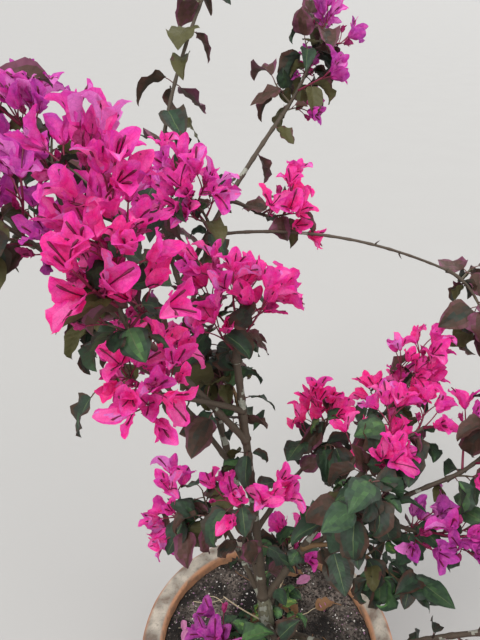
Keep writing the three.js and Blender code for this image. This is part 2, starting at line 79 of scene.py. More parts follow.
# The source's sizes: the pot and the soil, the trunk, how boughs taper, and how a stem turns
CLEARANCE = 0.3
POT_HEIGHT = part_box("pot")[1].z / MM
SOIL_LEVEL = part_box("soil")[1].z / MM
TRUNK_TOP = 430
TRUNK_LEAN = {"azimuth": 160, "reach": 10}
TRUNK_RADIUS = 12
TRUNK_TIP_RADIUS = 9
FLARE_RADIUS = 10
FLARE_RATE = 9
LIMB_STEPS = 5
STEM_STEPS = 3
BOUGH_TAPER = 0.7
STEM_TURN = 0.4

# The source's leaf and bloom, which its tests for room are made with
LEAF_LENGTH = 68
LEAF_WIDTH = 46
LEAF_TEST = [(0.3, 0.4), (0.5, 0.35), (0.75, 0.15), (1, 0)]
BRACTS = 3
BLOOM = {"reach": 42, "lift": 28, "notch": 0.42, "notch_lift": 0.3}

# The source's growth: angles in degrees, the rest shares
GOLDEN_ANGLE = 137.5
TWIG_SCATTER = 50
FIRST_TWIG = 0.1
TWIG_OPEN = (42, 68)
TWIG_REACH = (0.6, 0.85)
TWIG_TAPER = 0.75
TWIG_TRIES = (1, 0.75, 0.5, 0.3, 0.15)
TWIG_LIFT = 0.25
LEAF_OPEN = (45, 75)
LEAF_DROOP = 0.35
LEAF_SCATTER = 50
LEAF_TURN = 144
LEAF_TRIES = (0, 50, -50, 100, -100)
TIP_LEAF_OPEN = 40
BLOOM_UP = 0.6
BLOOM_FLARE = (0.85, 1.1)
LIMB_MARGIN = 4
NEIGHBOUR_MARGIN = 2
POT_MARGIN = 8
LEAF_MARGIN = 10
FIRST_SEED = 4021
SEED_STEP = 977
STREAM_FACTOR = 16807
STREAM_MODULUS = 2147483647

UP = np.array([0.0, 0.0, 1.0])
NEARLY_UPRIGHT = 1e-3

# A bough and its mass, in the source's words and order
Bough = namedtuple(
    "Bough",
    "name parent at radius azimuth reach rise arch"
    " stem_azimuth stem_pitch stem_length spread twigs bloom leaves on_stem",
)
BOUGHS = [Bough(*row) for row in (
    ("leader", "trunk", 1, 6.6, 135, 55, 400, 25, 80, 48, 75, 82, 6, 0.9, 0, 3),
    ("left_arm", "leader", 0.68, 4.6, -165, 190, 270, 10, -165, 45, 80, 66, 6, 0.6, 0, 3),
    ("front_left_high", "left_arm", 0.45, 3.8, -101, 105, 110, 10, 140, 76, 150, 46, 8, 1, 0, 3),
    ("left_top", "left_arm", 0.45, 3.9, 155, 122, 198, 20, 150, 50, 85, 58, 6, 0.8, 0, 3),
    ("left_mid", "leader", 0.8, 3.8, -145, 92, 62, 5, -135, 45, 86, 68, 7, 0.9, 0, 3),
    ("centre_leafy", "leader", 0.5, 3.6, 110, 55, 100, 5, 150, 35, 95, 76, 5, 0.1, 1, 5),
    ("left_back", "leader", 0.45, 4.2, 140, 190, 120, 25, 150, 40, 140, 62, 4, 0.5, 1, 3),
    ("back_left", "trunk", 0.95, 5.8, 120, 275, 455, 60, 74, 60, 400, 40, 0, 0, 0, 11),
    ("back_left_side", "back_left", 0.8, 3.8, 60, 58, 95, 5, -125, 60, 90, 78, 7, 0.9, 0, 3),
    ("back_high", "back_left", 0.9, 4.4, 50, 240, 205, 20, 56, 43, 180, 84, 6, 0.5, 1, 4),
    ("back_high_side", "back_high", 0.45, 3.4, -15, 45, -15, 4, -25, 5, 50, 50, 4, 0.9, 0, 2),
    ("arching_cane", "back_high", 0.25, 3.6, -4, 360, -45, 55, -25, -50, 120, 54, 3, 0, 1, 2),
    ("low_left", "trunk", 0.8, 4.6, 140, 80, 120, 10, 180, 12, 75, 60, 4, 0.7, 1, 2),
    ("low_centre", "low_left", 0.55, 3.6, -80, 30, 120, 5, -110, 65, 55, 48, 2, 0.9, 0, 2),
    ("low_front", "trunk", 0.45, 3.6, -160, 40, 8, 10, -150, 0, 45, 36, 4, 0.8, 0, 3),
    ("low_back", "trunk", 0.6, 4, 65, 70, 22, 10, 80, 0, 60, 44, 3, 0.5, 0, 3),
    ("centre_back", "leader", 0.3, 3.8, 50, 125, 35, 10, 50, 50, 75, 54, 4, 0.9, 0, 3),
    ("right", "trunk", 0.9, 5.6, 15, 125, 215, 10, 12, 42, 120, 55, 6, 0.9, 0, 3),
    ("right_back", "right", 0.6, 4, 48, 135, 100, 15, 32, 44, 125, 55, 6, 0.9, 0, 3),
    ("right_low", "right", 0.75, 4, -20, 90, 10, 15, -15, 8, 120, 80, 7, 0.9, 0, 3),
    ("right_tail", "right", 0.45, 3.6, -20, 75, 25, 20, -25, -25, 75, 60, 4, 0, 1, 4),
    ("right_leafy", "right", 0.62, 3.6, -60, 40, 60, 5, -20, 50, 75, 62, 4, 0.1, 1, 4),
    ("right_far", "right", 0.4, 4.2, 0, 190, 150, 20, 5, 60, 150, 80, 6, 0.8, 0, 4),
    ("front_left", "trunk", 0.4, 5.2, -125, 205, 125, 30, -120, 36, 165, 88, 5, 0.7, 1, 2),
    ("front", "trunk", 0.45, 5, -85, 195, 165, 35, -83, 26, 150, 84, 4, 0.7, 1, 2),
    ("front_right", "trunk", 0.35, 5.2, -50, 225, 175, 30, -55, 36, 165, 88, 5, 0.7, 1, 2),
    ("right_front", "front_right", 0.7, 4, -15, 155, 120, 20, -12, 45, 150, 84, 5, 0.8, 0, 3),
    ("left_far", "front_left", 0.7, 4, -150, 200, 60, 20, -160, 18, 150, 70, 4, 0.8, 1, 2),
)]

# Real leaves are smaller and more than the source's: their stalks, their blades as shares of the longest,
# how they hang and roll, and how far each kind of end stands from the next
FINE_SEED = 71
FINE_LIMB_MARGIN = 0
FINE_NEIGHBOUR_MARGIN = -16
OVER_SOIL = 6
LEAF_STALK = (9, 17)
STALK_RADII = (1.0, 0.75)
STALK_STEPS = 4
STALK_LEAN = 0.4
YOUNG_STALK = 0.7
LEAF_SIZE = (0.72, 1)
YOUNG_LEAF_SIZE = (0.34, 0.6)
SHOOT_LEAF_SIZE = (0.4, 0.8)
BOUGH_LEAF_SIZE = (0.4, 1)
STEM_LEAF_SIZE = (0.5, 1)
CANE_LEAF_SIZE = (0.95, 1.25)
FOOT_LEAF_SIZE = (0.3, 0.6)
LEAF_HANG = (0.15, 1.1)
LEAF_ROLL = 35
LEAF_CENTRE = 25
LEAF_APART = 17
LEAF_OFF_FLOWER = 18.7

# A bunch's flowers, on stalks that leave the last of the twig, and its buds
FLOWER_STALK = (14, 33)
PEDICEL_RADII = (1.05, 0.85)
PEDICEL_LEAN = 0.7
FLOWER_OPEN = (22, 66)
FIRST_FLOWER_OPEN = (4, 14)
FLOWER_SCATTER = 40
FLOWER_LIFT = 0.3
FLOWER_STEP = 2.7
FLOWER_SIZE = (0.8, 1)
FLOWER_CENTRE = 15
FLOWER_TRIES = (0, 65, -65, 130, -130, 180)
FLOWER_APART = 20
FLOWER_OFF_LEAF = 13.6
BRACT_REACH = 28
BRACT_OPEN = 50
BRACT_TURN = 360 / BRACTS
BUD_SIZE = (0.28, 0.5)
BUD_SHARE = 0.5
BUD_STALK = 0.7

# Twigs and short shoots, with their bunches and leaves
TWIG_STEPS = 8
TWIG_RADII = (1.8, 1.1)
TWIG_SAG = 0.07
TWIG_LEAF_PLACES = (0.3, 0.95)
TWIG_LEAF_SCATTER = 90
END_LEAF_OPEN = 25
BLOOM_TWIG_LEAVES = 1
LEAF_TWIG_LEAVES = 4
YOUNG_SHARE = 0.25
SHOOT_SHARE = 0.42
SHOOT_BLOOM = 0.6
SHOOT_OPEN = (40, 65)
SHOOT_REACH = (18, 42)
SHOOT_RADII = (1.4, 0.9)
SHOOT_LEAN = 0.4
SHOOT_LEAF_OPEN = 60
SHOOT_LEAF_PLACES = (0.5, 0.95)
BUNCH = (2.3, 4.9)
TOP_BUNCH = 0.07
SHOOT_BUNCH = 2
FULLNESS = {
    "front_left_high": 1.7, "left_mid": 1.3, "leader": 1.2, "back_high_side": 0.8, "low_front": 0.45,
    "low_back": 0.7, "low_left": 0.7,
}
BARE_MASSES = ("left_mid",)

# A stem's top leaves: how many, how they open, and how far apart they stand as a share of the stem
TOP_LEAVES = 4
TOP_LEAF_OPEN = 20
TOP_LEAF_SPREAD = 12
TOP_LEAF_STEP = 0.02
SOURCE_LEAF_OPEN = 4
SOURCE_LEAF_TRIES = (0, 120, 240)

# Nodes, where leaves, short shoots and thorns stand on the canes
NODE_SPACING = 30
NODE_SWELL = 0.2
NODE_WIDTH = 4
NODE_SCATTER = 60
OTHER_SIDE = 150
LEAF_SUNK = 0.6
LEAFY_NODES = 0.6
NODE_LEAVES = {
    "arching_cane": 0.1, "back_left": 0.3, "back_high": 0.5, "leader": 0.9, "left_arm": 0.7,
    "left_mid": 0.3, "left_back": 0.5, "centre_leafy": 1.4, "front_left_high": 0.3, "right": 1,
    "right_low": 1, "right_tail": 1.2, "right_leafy": 1.2, "low_left": 0.7,
}
STEM_NODE_SPACING = 22
STEM_LEAF_SHARE = 0.34
THORN_LENGTH = (7, 15)
THORN_OPEN = (50, 75)
THORN_HOOK = 0.2
THORN_RADII = 1.1 * np.array([1.3, 1, 0.8, 0.5, 0.08])
THORN_SHARE = 0.45
THORN_SUNK = 0.7
BOUGH_THORN_TURN = 25
STEM_THORN_TURN = 20
STEM_THORN_SHARE = 0.27
STEM_THORN_SIZE = 0.8

# Young shoots and a few dry ones round the trunk's foot
FOOT_SEED = 5501
FOOT_SHOOTS = 12
DRY_SHOOTS = 3
DRY_REACH = 1.5
FOOT_SCATTER = 40
FOOT_PLACES = (0.08, 0.6)
FOOT_PITCH = (15, 45)
FOOT_REACH = (22, 48)
FOOT_RISE = 12
FOOT_LEAF_PLACES = (0.4, 0.6, 0.8, 0.98)
FOOT_LEAF_OPEN = (30, 60)
FOOT_LEAF_SCATTER = 60

# The bracts' tints: a ladder from rose over violet to a dark rung of painted shade, with steps between its
# rungs, and then those of painted highlights and of the feet. Where each mass stands on the ladder, at its
# foot
# and at its top: these lie a share of its spread below and above its stem
BRACT_LADDER = ("rose", "hot", "cerise", "magenta", "orchid", "purple", "violet", "dusky")
BRACT_EXTRAS = ("blush", "lilac", "deep")
LADDER_STEPS = 4
TONE_SCATTER = 0.25
TONE_FOOT = 0.2
TONE_TOP = 0.3
USUAL_TONE = (0.8, 2.8)
CERISE_TONE = 2.8
VIOLET_TONE = 6.2
BRACT_SLOPE = (-1.2, 1.6)
BRACT_EDGE_TONE = (-0.5, 1.3)
BRACT_MOTTLE = 0.4
BRACT_PATCHES = ((1, 6, 4, 40, 0), (0.5, 11, -6, 0, 60))
# Painted highlights, a pale patch down the middle of some bracts: the chance above which a bract has one,
# how wide it is, and where along the bract it starts
PAINTED_HIGHLIGHT_CHANCE = 0.8
PAINTED_HIGHLIGHT_WIDTH = (0.35, 1)
PAINTED_HIGHLIGHT_START = 0.16
DEEP_FOOT = 0.06
# The back left mass's tones pass violet, into the rung of painted shade
MASS_TONES = {
    "left_top": (3.4, 5), "left_arm": (5.8, 4.2), "front_left_high": (1, 3.8), "back_left_side": (2, 3.2),
    "leader": (1.4, 2.6), "left_mid": (3.8, 1.2), "left_back": (7, 6.3), "back_high": (3.8, 5.2),
    "back_high_side": (1.2, 2.4), "low_left": (1.8, 3), "low_front": (4.6, 5.6), "low_back": (2, 3.4),
    "right_low": (5.4, 4.2), "right_far": (2.2, 3.6), "left_far": (2.5, 5), "front_right": (1.5, 4.5),
    "centre_back": (0.3, 1.8),
}

# The leaves' tints: a ladder from lime to wine, then two of their own. Where each kind stands on it
LEAF_LADDER = ("lime", "fresh", "green", "dark", "dusk", "umber", "bronze", "wine")
LEAF_EXTRAS = ("olive", "rib")
LEAF_EDGE_TONE = (0.4, 3)
LEAF_EDGE_FROM = 0.22
LEAF_MOTTLE = 0.35
LEAF_PATCHES = ((1, 8, 6, 30, 0), (0.6, 15, -9, 0, 50))
LEAF_KINDS = {
    "young": (0.5, 1.7), "green": (1.6, 2.8), "dark": (2.8, 4.2), "bronze": (4.8, 6.2), "olive": (3.4, 4.6),
}
RIBBED_KINDS = ("young", "green", "dark")
RIBBED_SHARE = 0.6
OLIVE_TONES = (2.5, 5.5)
USUAL_LEAVES = {"dark": 0.5, "green": 0.14, "bronze": 0.28, "olive": 0.08}
BRONZE_LEAVES = {"dark": 0.28, "bronze": 0.46, "olive": 0.26}
GREEN_LEAVES = {"dark": 0.46, "green": 0.38, "bronze": 0.08, "olive": 0.06, "young": 0.02}
FOOT_LEAVES = {"young": 0.4, "green": 0.4, "dark": 0.2}
BRONZE_MASSES = (
    "back_left", "back_high", "back_high_side", "left_top", "left_arm", "arching_cane", "centre_leafy",
    "left_back",
)
GREEN_MASSES = ("right_tail", "low_back", "low_front", "right_leafy")


def mix(low, high, share):
    return low + (high - low) * share


def unit(vector):
    return vector / np.linalg.norm(vector)


def units(vectors):
    """Rows of vectors, each at length one."""
    return vectors / np.linalg.norm(vectors, axis=-1, keepdims=True)


def waved(waves, *places):
    """A sum of waves, each with its depth and then its rate by each of the places."""
    return sum(
        depth * np.sin(sum(rate * place for rate, place in zip(rates, places))) for depth, *rates in waves
    )


def linear(hex_colour):
    """An sRGB hex colour as linear red, green and blue."""
    channels = [int(hex_colour[i : i + 2], 16) / 255 for i in (1, 3, 5)]
    return tuple(c / 12.92 if c <= 0.04045 else ((c + 0.055) / 1.055) ** 2.4 for c in channels)


def ladder(settings, rungs, extras):
    """Names and colours of a ladder's rungs, with the steps between them, and then of the extras."""
    tints = {}
    for name, following in zip(rungs, rungs[1:]):
        for step in range(LADDER_STEPS):
            label = f"{name} to {following} {step}" if step else name
            ends = zip(getattr(settings, name), getattr(settings, following))
            tints[label] = [mix(*pair, step / LADDER_STEPS) for pair in ends]
    for name in (rungs[-1], *extras):
        tints[name] = getattr(settings, name)
    return tints


def ladder_length(rungs):
    return LADDER_STEPS * (len(rungs) - 1) + 1


def ladder_steps(tones, rungs):
    """The steps of a ladder that stand nearest to some places on it."""
    return np.clip(np.rint(LADDER_STEPS * tones), 0, ladder_length(rungs) - 1).astype(int)


def tinted(name, description, hex_colour):
    """A setting that is a colour."""
    return FloatVectorProperty(
        name=name, description=description, subtype="COLOR", default=linear(hex_colour), min=0, max=1
    )


def counted(name, description, usual, most):
    """A setting that is a number of things."""
    return IntProperty(name=name, description=description, default=usual, min=0, soft_max=most)


def measured(name, description, metres):
    """A setting that is a length."""
    return FloatProperty(name=name, description=description, unit="LENGTH", default=metres)


def seeded_stream(seed):
    """Numbers from 0 to 1 that are the same on every run, as the source draws them."""
    state = seed

    def draw():
        nonlocal state
        state = state * STREAM_FACTOR % STREAM_MODULUS
        return state / STREAM_MODULUS

    return draw


def heading(azimuth, pitch=0.0):
    """A direction by compass angle and pitch above level, in degrees."""
    level = math.cos(math.radians(pitch))
    turn = math.radians(azimuth)
    return np.array([level * math.cos(turn), level * math.sin(turn), math.sin(math.radians(pitch))])


def sideways(direction):
    """Two directions square to this one, the first of them level."""
    level = np.cross(UP, direction)
    level = np.array([1.0, 0.0, 0.0]) if np.linalg.norm(level) < NEARLY_UPRIGHT else unit(level)
    return level, unit(np.cross(direction, level))


def all_round(count):
    """Angles all round a ring, evenly apart."""
    return 2 * math.pi * np.arange(count) / count


def opened_from(axis, opening, turn):
    """A direction at an opening angle from an axis, turned round it."""
    level, steep = sideways(axis)
    outward = level * math.cos(math.radians(turn)) + steep * math.sin(math.radians(turn))
    return unit(axis * math.cos(math.radians(opening)) + outward * math.sin(math.radians(opening)))


class Curve(NamedTuple):
    """A curve that three points draw."""

    start: np.ndarray
    middle: np.ndarray
    end: np.ndarray

    def point(self, share):
        back = 1 - share
        return back * back * self.start + 2 * back * share * self.middle + share * share * self.end

    def along(self, share):
        return unit((1 - share) * (self.middle - self.start) + share * (self.end - self.middle))

    def points(self, steps):
        return np.array([self.point(i / steps) for i in range(steps + 1)])

    def length(self):
        return float(np.linalg.norm(np.diff(self.points(8), axis=0), axis=1).sum())


def straight(start, end):
    return Curve(start, (start + end) / 2, end)


def bough_curve(bough, parent):
    start = parent.point(bough.at)
    tip = start + heading(bough.azimuth) * bough.reach + UP * bough.rise
    return Curve(start, (start + tip) / 2 + UP * bough.arch, tip)


def stem_curve(bough, curve):
    along = curve.along(1)
    start = curve.point(1) + along * CLEARANCE
    end = start + heading(bough.stem_azimuth, bough.stem_pitch) * bough.stem_length
    return Curve(start, start + along * bough.stem_length * STEM_TURN, end)


def trunk_curve():
    foot = np.array([0.0, 0.0, SOIL_LEVEL + CLEARANCE])
    fork = heading(TRUNK_LEAN["azimuth"]) * TRUNK_LEAN["reach"] + UP * TRUNK_TOP
    return Curve(foot, foot + UP * (TRUNK_TOP - foot[2]) / 2, fork)


def trunk_radius(share):
    return mix(TRUNK_RADIUS, TRUNK_TIP_RADIUS, share) + FLARE_RADIUS * np.exp(-FLARE_RATE * share)


class End(NamedTuple):
    """A leaf or a bloom of the source: where it stands, its heading, and the points that need room."""

    blooms: bool
    base: np.ndarray
    along: np.ndarray
    points: np.ndarray


def leaf_end(base, axis, opening, turn):
    along = unit(opened_from(axis, opening, turn) - UP * LEAF_DROOP)
    across = sideways(along)[0]
    points = [
        base + along * LEAF_LENGTH * share + across * LEAF_WIDTH * offset
        for share, side in LEAF_TEST
        for offset in (-side, 0, side)
    ]
    return End(False, base, along, np.array(points))


def bloom_end(base, along, turn, flare):
    axis = unit(along + UP * BLOOM_UP)
    across = sideways(axis)[0]
    third = np.cross(across, axis)
    points = []
    for step in range(2 * BRACTS):
        is_point = step % 2 == 0
        angle = step * math.pi / BRACTS + math.radians(turn)
        reach = BLOOM["reach"] * flare * (1 if is_point else BLOOM["notch"])
        lift = BLOOM["lift"] * (1 if is_point else BLOOM["notch_lift"])
        rim = base + (across * math.sin(angle) + third * math.cos(angle)) * reach + axis * lift
        points += [rim, (base + rim) / 2]
    return End(True, base, axis, np.array(points))


def distances(points, starts, ends):
    """Distance from each point to each straight run, as rows of points."""
    spans = ends - starts
    along = np.einsum("pmk,mk->pm", points[:, None] - starts, spans) / (spans**2).sum(-1)
    nearest = starts + along.clip(0, 1)[..., None] * spans
    return np.linalg.norm(points[:, None] - nearest, axis=-1)


class Room:
    """Where things may grow: nearer their own stem than any other, off the limbs, and off the pot."""

    def __init__(self, stems, limbs):
        self.stems = np.array([stem.points(STEM_STEPS) for stem in stems])
        self.limbs = np.array([curve.points(LIMB_STEPS) for curve, _ in limbs])
        self.radii = np.array([radius for _, radius in limbs])
        self.flowers = []
        self.leaves = []

    def runs(self, points, lines):
        starts = lines[:, :-1].reshape(-1, 3)
        ends = lines[:, 1:].reshape(-1, 3)
        return distances(points, starts, ends).reshape(len(points), len(lines), -1).min(-1)

    def keeps_clear(self, points, own, neighbour_margin=NEIGHBOUR_MARGIN, limb_margin=LIMB_MARGIN):
        points = np.atleast_2d(points)
        if (points[:, 2] <= POT_HEIGHT + POT_MARGIN).any():
            return False
        to_stems = self.runs(points, self.stems)
        others = np.delete(to_stems, own, axis=1)
        if (others <= to_stems[:, [own]] + neighbour_margin).any():
            return False
        return bool((self.runs(points, self.limbs) > self.radii + limb_margin).all())

    def is_apart(self, point, flower_gap, leaf_gap):
        for taken, gap in ((self.flowers, flower_gap), (self.leaves, leaf_gap)):
            if taken and (np.linalg.norm(np.array(taken) - point, axis=1) < gap).any():
                return False
        return True


class Growth(NamedTuple):
    """What the source's rule grows on one stem, and the twigs whose coarse ends found no room there."""

    top: End
    twigs: list
    leaves: list
    missed: list


def grow_mass(bough, stem, draw, is_clear):
    """The source's rule, number for number: the twigs with their ends, and the leaves on twigs and stem."""
    taken = []

    def is_free(end):
        if not is_clear(end.points):
            return False
        if not taken:
            return True
        others = np.concatenate(taken)
        return bool((np.linalg.norm(end.points[:, None] - others, axis=-1) > LEAF_MARGIN).all())

    def add_leaf(base, axis, opening, turn):
        tries = (leaf_end(base, axis, opening, turn + more) for more in LEAF_TRIES)
        leaf = next((end for end in tries if is_free(end)), None)
        if leaf:
            taken.append(leaf.points)
        return leaf

    def draw_end():
        return draw() < bough.bloom, draw() * 360, draw()

    def end_at(base, along, drawn):
        blooms, turn, flare = drawn
        if blooms:
            return bloom_end(base, along, turn, mix(*BLOOM_FLARE, flare))
        return leaf_end(base, along, TIP_LEAF_OPEN, turn)

    top = end_at(stem.point(1), stem.along(1), draw_end())
    if is_free(top):
        taken.append(top.points)
    twigs = []
    leaves = []
    missed = []
    for i in range(bough.twigs):
        share = mix(FIRST_TWIG, 1, (i + 0.5) / bough.twigs)
        turn = i * GOLDEN_ANGLE + draw() * TWIG_SCATTER
        opening = mix(*TWIG_OPEN, draw())
        reach = bough.spread * mix(*TWIG_REACH, draw()) * mix(1, TWIG_TAPER, share)
        drawn = draw_end()
        leaf_draws = [(draw(), draw()) for _ in range(bough.leaves)]
        start = stem.point(share)
        along = unit(opened_from(stem.along(share), opening, turn) + UP * TWIG_LIFT)
        for cut in TWIG_TRIES:
            tip = start + along * reach * cut
            end = end_at(tip, along, drawn)
            if is_clear(np.array([(start + tip) / 2, tip])) and is_free(end):
                break
        else:
            missed.append((start, along * reach, drawn))
            continue
        twigs.append((straight(start, tip), end))
        taken.append(end.points)
        for j, (open_draw, turn_draw) in enumerate(leaf_draws):
            base = mix(start, tip, (j + 1) / (bough.leaves + 1))
            leaf_turn = turn + j * LEAF_TURN + turn_draw * LEAF_SCATTER
            leaves.append(add_leaf(base, along, mix(*LEAF_OPEN, open_draw), leaf_turn))
    for i in range(bough.on_stem):
        share = (i + 0.5) / bough.on_stem
        opening = mix(*LEAF_OPEN, draw())
        turn = i * LEAF_TURN + draw() * LEAF_SCATTER
        leaves.append(add_leaf(stem.point(share), stem.along(share), opening, turn))
    return Growth(top, twigs, [leaf for leaf in leaves if leaf], missed)


class Tube(NamedTuple):
    """A round tapering part: its middle line, its radii along it, and its bark."""

    points: np.ndarray
    radii: np.ndarray
    bark: str


class Leaf(NamedTuple):
    """A leaf's foot, heading and upper side, its share of the longest, its kind and its own chances."""

    base: np.ndarray
    along: np.ndarray
    facing: np.ndarray
    size: float
    kind: str
    chances: tuple


class Flower(NamedTuple):
    """Three bracts round an axis: their mass, foot, turn, size, tone and their own chances."""

    mass: int
    base: np.ndarray
    axis: np.ndarray
    turn: float
    size: float
    tone: float
    chances: tuple


class Plant:
    """Everything that grows, in millimetres."""

    def __init__(self):
        self.limbs = []
        self.stems = []
        self.twigs = []
        self.stalks = []
        self.thorns = []
        self.leaves = []
        self.flowers = []


def pick(weights, draw):
    """A name by its weight."""
    left = draw() * sum(weights.values())
    for name, weight in weights.items():
        left -= weight
        if left < 0:
            return name
    return name


def bent(start, end, leaving, reach=0.5):
    """A curve that leaves its start by one heading and then bends to its end."""
    return Curve(start, start + unit(leaving) * np.linalg.norm(end - start) * reach, end)


def tapering(curve, radii, steps, bark, scale=1):
    """A tube along a curve, from one radius to another."""
    return Tube(curve.points(steps), np.linspace(*radii, steps + 1) * scale, bark)


class Grower(NamedTuple):
    """What grows in one place: its plant and room, its draws, its leaves' kinds, and whose it is."""

    plant: Plant
    room: Room
    draw: Callable
    leaf_kinds: dict
    bough: Bough = None
    own: int = None
    tones: tuple = ()

    def is_clear(self, points, limb_margin=FINE_LIMB_MARGIN):
        """Whether a mass has room for these points, or whether those of no mass are over the soil."""
        if self.own is None:
            return bool((points[:, 2] > SOIL_LEVEL + OVER_SOIL).all())
        return self.room.keeps_clear(points, self.own, FINE_NEIGHBOUR_MARGIN, limb_margin)


def fine_leaf(grower, base, axis, opening, turn, sizes, tries=LEAF_TRIES):
    """A leaf on its stalk, hanging more or less: it takes the first turn that has room."""
    plant, room, draw = grower.plant, grower.room, grower.draw
    stalk = mix(*LEAF_STALK, draw())
    size = mix(*sizes, draw())
    hang = mix(*LEAF_HANG, draw())
    roll = math.radians((draw() - 0.5) * 2 * LEAF_ROLL)
    kind = pick(grower.leaf_kinds, draw)
    chances = tuple(draw() for _ in range(5))
    for more in tries:
        leaving = unit(opened_from(axis, opening, turn + more) - UP * LEAF_DROOP)
        foot = base + leaving * stalk * size
        along = unit(leaving - UP * hang)
        centre = foot + along * LEAF_CENTRE * size
        tip = foot + along * 2 * LEAF_CENTRE * size
        is_apart = room.is_apart(centre, LEAF_OFF_FLOWER, LEAF_APART * size)
        if is_apart and grower.is_clear(np.array([centre, tip])):
            break
    else:
        return
    across, facing = sideways(along)
    facing = facing * math.cos(roll) + across * math.sin(roll)
    curve = bent(base, foot, leaving + UP * STALK_LEAN)
    plant.stalks.append(tapering(curve, STALK_RADII, STALK_STEPS, "stalk", mix(YOUNG_STALK, 1, size)))
    plant.leaves.append(Leaf(foot, along, facing, size, kind, chances))
    room.leaves.append(centre)


def fine_flower(grower, base, axis, opening, turn, stalk, size, tone):
    """A flower of three bracts on its thin stalk: it takes the first turn that has room."""
    plant, room, draw = grower.plant, grower.room, grower.draw
    chances = tuple(draw() for _ in range(8))
    spin = draw() * 360
    for more in FLOWER_TRIES:
        facing = unit(opened_from(axis, opening, turn + more) + UP * FLOWER_LIFT)
        foot = base + facing * stalk
        centre = foot + facing * FLOWER_CENTRE * size
        spokes = [opened_from(facing, BRACT_OPEN, spin + BRACT_TURN * i) for i in range(BRACTS)]
        points = np.array([centre, *(foot + spoke * BRACT_REACH * size for spoke in spokes)])
        if room.is_apart(centre, FLOWER_APART * size, FLOWER_OFF_LEAF) and grower.is_clear(points):
            break
    else:
        return
    curve = bent(base, foot, axis * PEDICEL_LEAN + facing)
    plant.stalks.append(tapering(curve, PEDICEL_RADII, STALK_STEPS, "pedicel", mix(YOUNG_STALK, 1, size)))
    plant.flowers.append(Flower(grower.own, foot, facing, spin, size, tone, chances))
    room.flowers.append(centre)


def grow_bunch(grower, base, axis, count):
    """A bunch of flowers round a twig's end, one of them at the very end, and a few buds."""
    draw = grower.draw
    low, high, foot, top = grower.tones
    share = min(max((base[2] - foot) / (top - foot), 0), 1)
    tone = mix(low, high, mix(share, draw(), TONE_SCATTER))
    buds = int(draw() < BUD_SHARE) + int(draw() < BUD_SHARE)
    for i in range(count + buds):
        is_bud = i >= count
        opening = mix(*(FLOWER_OPEN if i else FIRST_FLOWER_OPEN), draw())
        stalk = mix(*FLOWER_STALK, draw()) * (BUD_STALK if is_bud else 1)
        size = mix(*(BUD_SIZE if is_bud else FLOWER_SIZE), draw())
        turn = i * GOLDEN_ANGLE + draw() * FLOWER_SCATTER
        own_tone = tone + draw() - 0.5
        fine_flower(grower, base - axis * FLOWER_STEP * i, axis, opening, turn, stalk, size, own_tone)


def grow_twig(grower, curve, end):
    """A twig of the source's at its real thickness, with its bunch or its leaves."""
    draw, name = grower.draw, grower.bough.name
    sag = opened_from(curve.along(0), 90, draw() * 360) * curve.length() * TWIG_SAG
    bowed = Curve(curve.start, curve.middle + sag, curve.end)
    bark = "pedicel" if end.blooms else "twig"
    grower.plant.twigs.append(tapering(bowed, TWIG_RADII, TWIG_STEPS, bark))
    tip, along = bowed.point(1), bowed.along(1)
    if end.blooms:
        count = max(1, int(mix(*BUNCH, draw()) * FULLNESS.get(name, 1)))
        grow_bunch(grower, tip, unit(along + end.along), count)
    else:
        fine_leaf(grower, tip, along, END_LEAF_OPEN, draw() * 360, LEAF_SIZE)
    leaves = BLOOM_TWIG_LEAVES if end.blooms else LEAF_TWIG_LEAVES
    for i in range(0 if name in BARE_MASSES else leaves):
        share = mix(*TWIG_LEAF_PLACES, (i + draw()) / leaves)
        sizes = YOUNG_LEAF_SIZE if draw() < YOUNG_SHARE else LEAF_SIZE
        turn = i * LEAF_TURN + draw() * TWIG_LEAF_SCATTER
        opening = mix(*LEAF_OPEN, draw())
        fine_leaf(grower, bowed.point(share), bowed.along(share), opening, turn, sizes)


def grow_missed(grower, start, span, drawn):
    """A twig that the source's coarse end had no room for: it takes the longest reach that is clear."""
    for cut in TWIG_TRIES:
        tip = start + span * cut
        if grower.is_clear(np.array([(start + tip) / 2, tip]), LIMB_MARGIN):
            grow_twig(grower, straight(start, tip), End(drawn[0], tip, unit(span), None))
            return


def grow_shoot(grower, point, along, turn, blooms):
    """A short side shoot between the twigs."""
    draw = grower.draw
    leaving = unit(opened_from(along, mix(*SHOOT_OPEN, draw()), turn) + UP * TWIG_LIFT)
    tip = point + leaving * mix(*SHOOT_REACH, draw())
    if not grower.is_clear(tip):
        return
    shoot = bent(point, tip, leaving + along * SHOOT_LEAN)
    grower.plant.twigs.append(tapering(shoot, SHOOT_RADII, TWIG_STEPS, "twig"))
    if blooms:
        grow_bunch(grower, tip, shoot.along(1), SHOOT_BUNCH)
    for share in SHOOT_LEAF_PLACES[: 1 if blooms else 2]:
        place, ahead = shoot.point(share), shoot.along(share)
        fine_leaf(grower, place, ahead, SHOOT_LEAF_OPEN, draw() * 360, SHOOT_LEAF_SIZE)


def add_thorn(grower, point, along, turn, size=1):
    """A thorn, a little hooked, that stands in the axil of a leaf."""
    length = mix(*THORN_LENGTH, grower.draw()) * size
    leaving = opened_from(along, mix(*THORN_OPEN, grower.draw()), turn)
    curve = bent(point, point + unit(leaving + along * THORN_HOOK) * length, leaving)
    grower.plant.thorns.append(Tube(curve.points(STALK_STEPS), size * THORN_RADII, "thorn"))


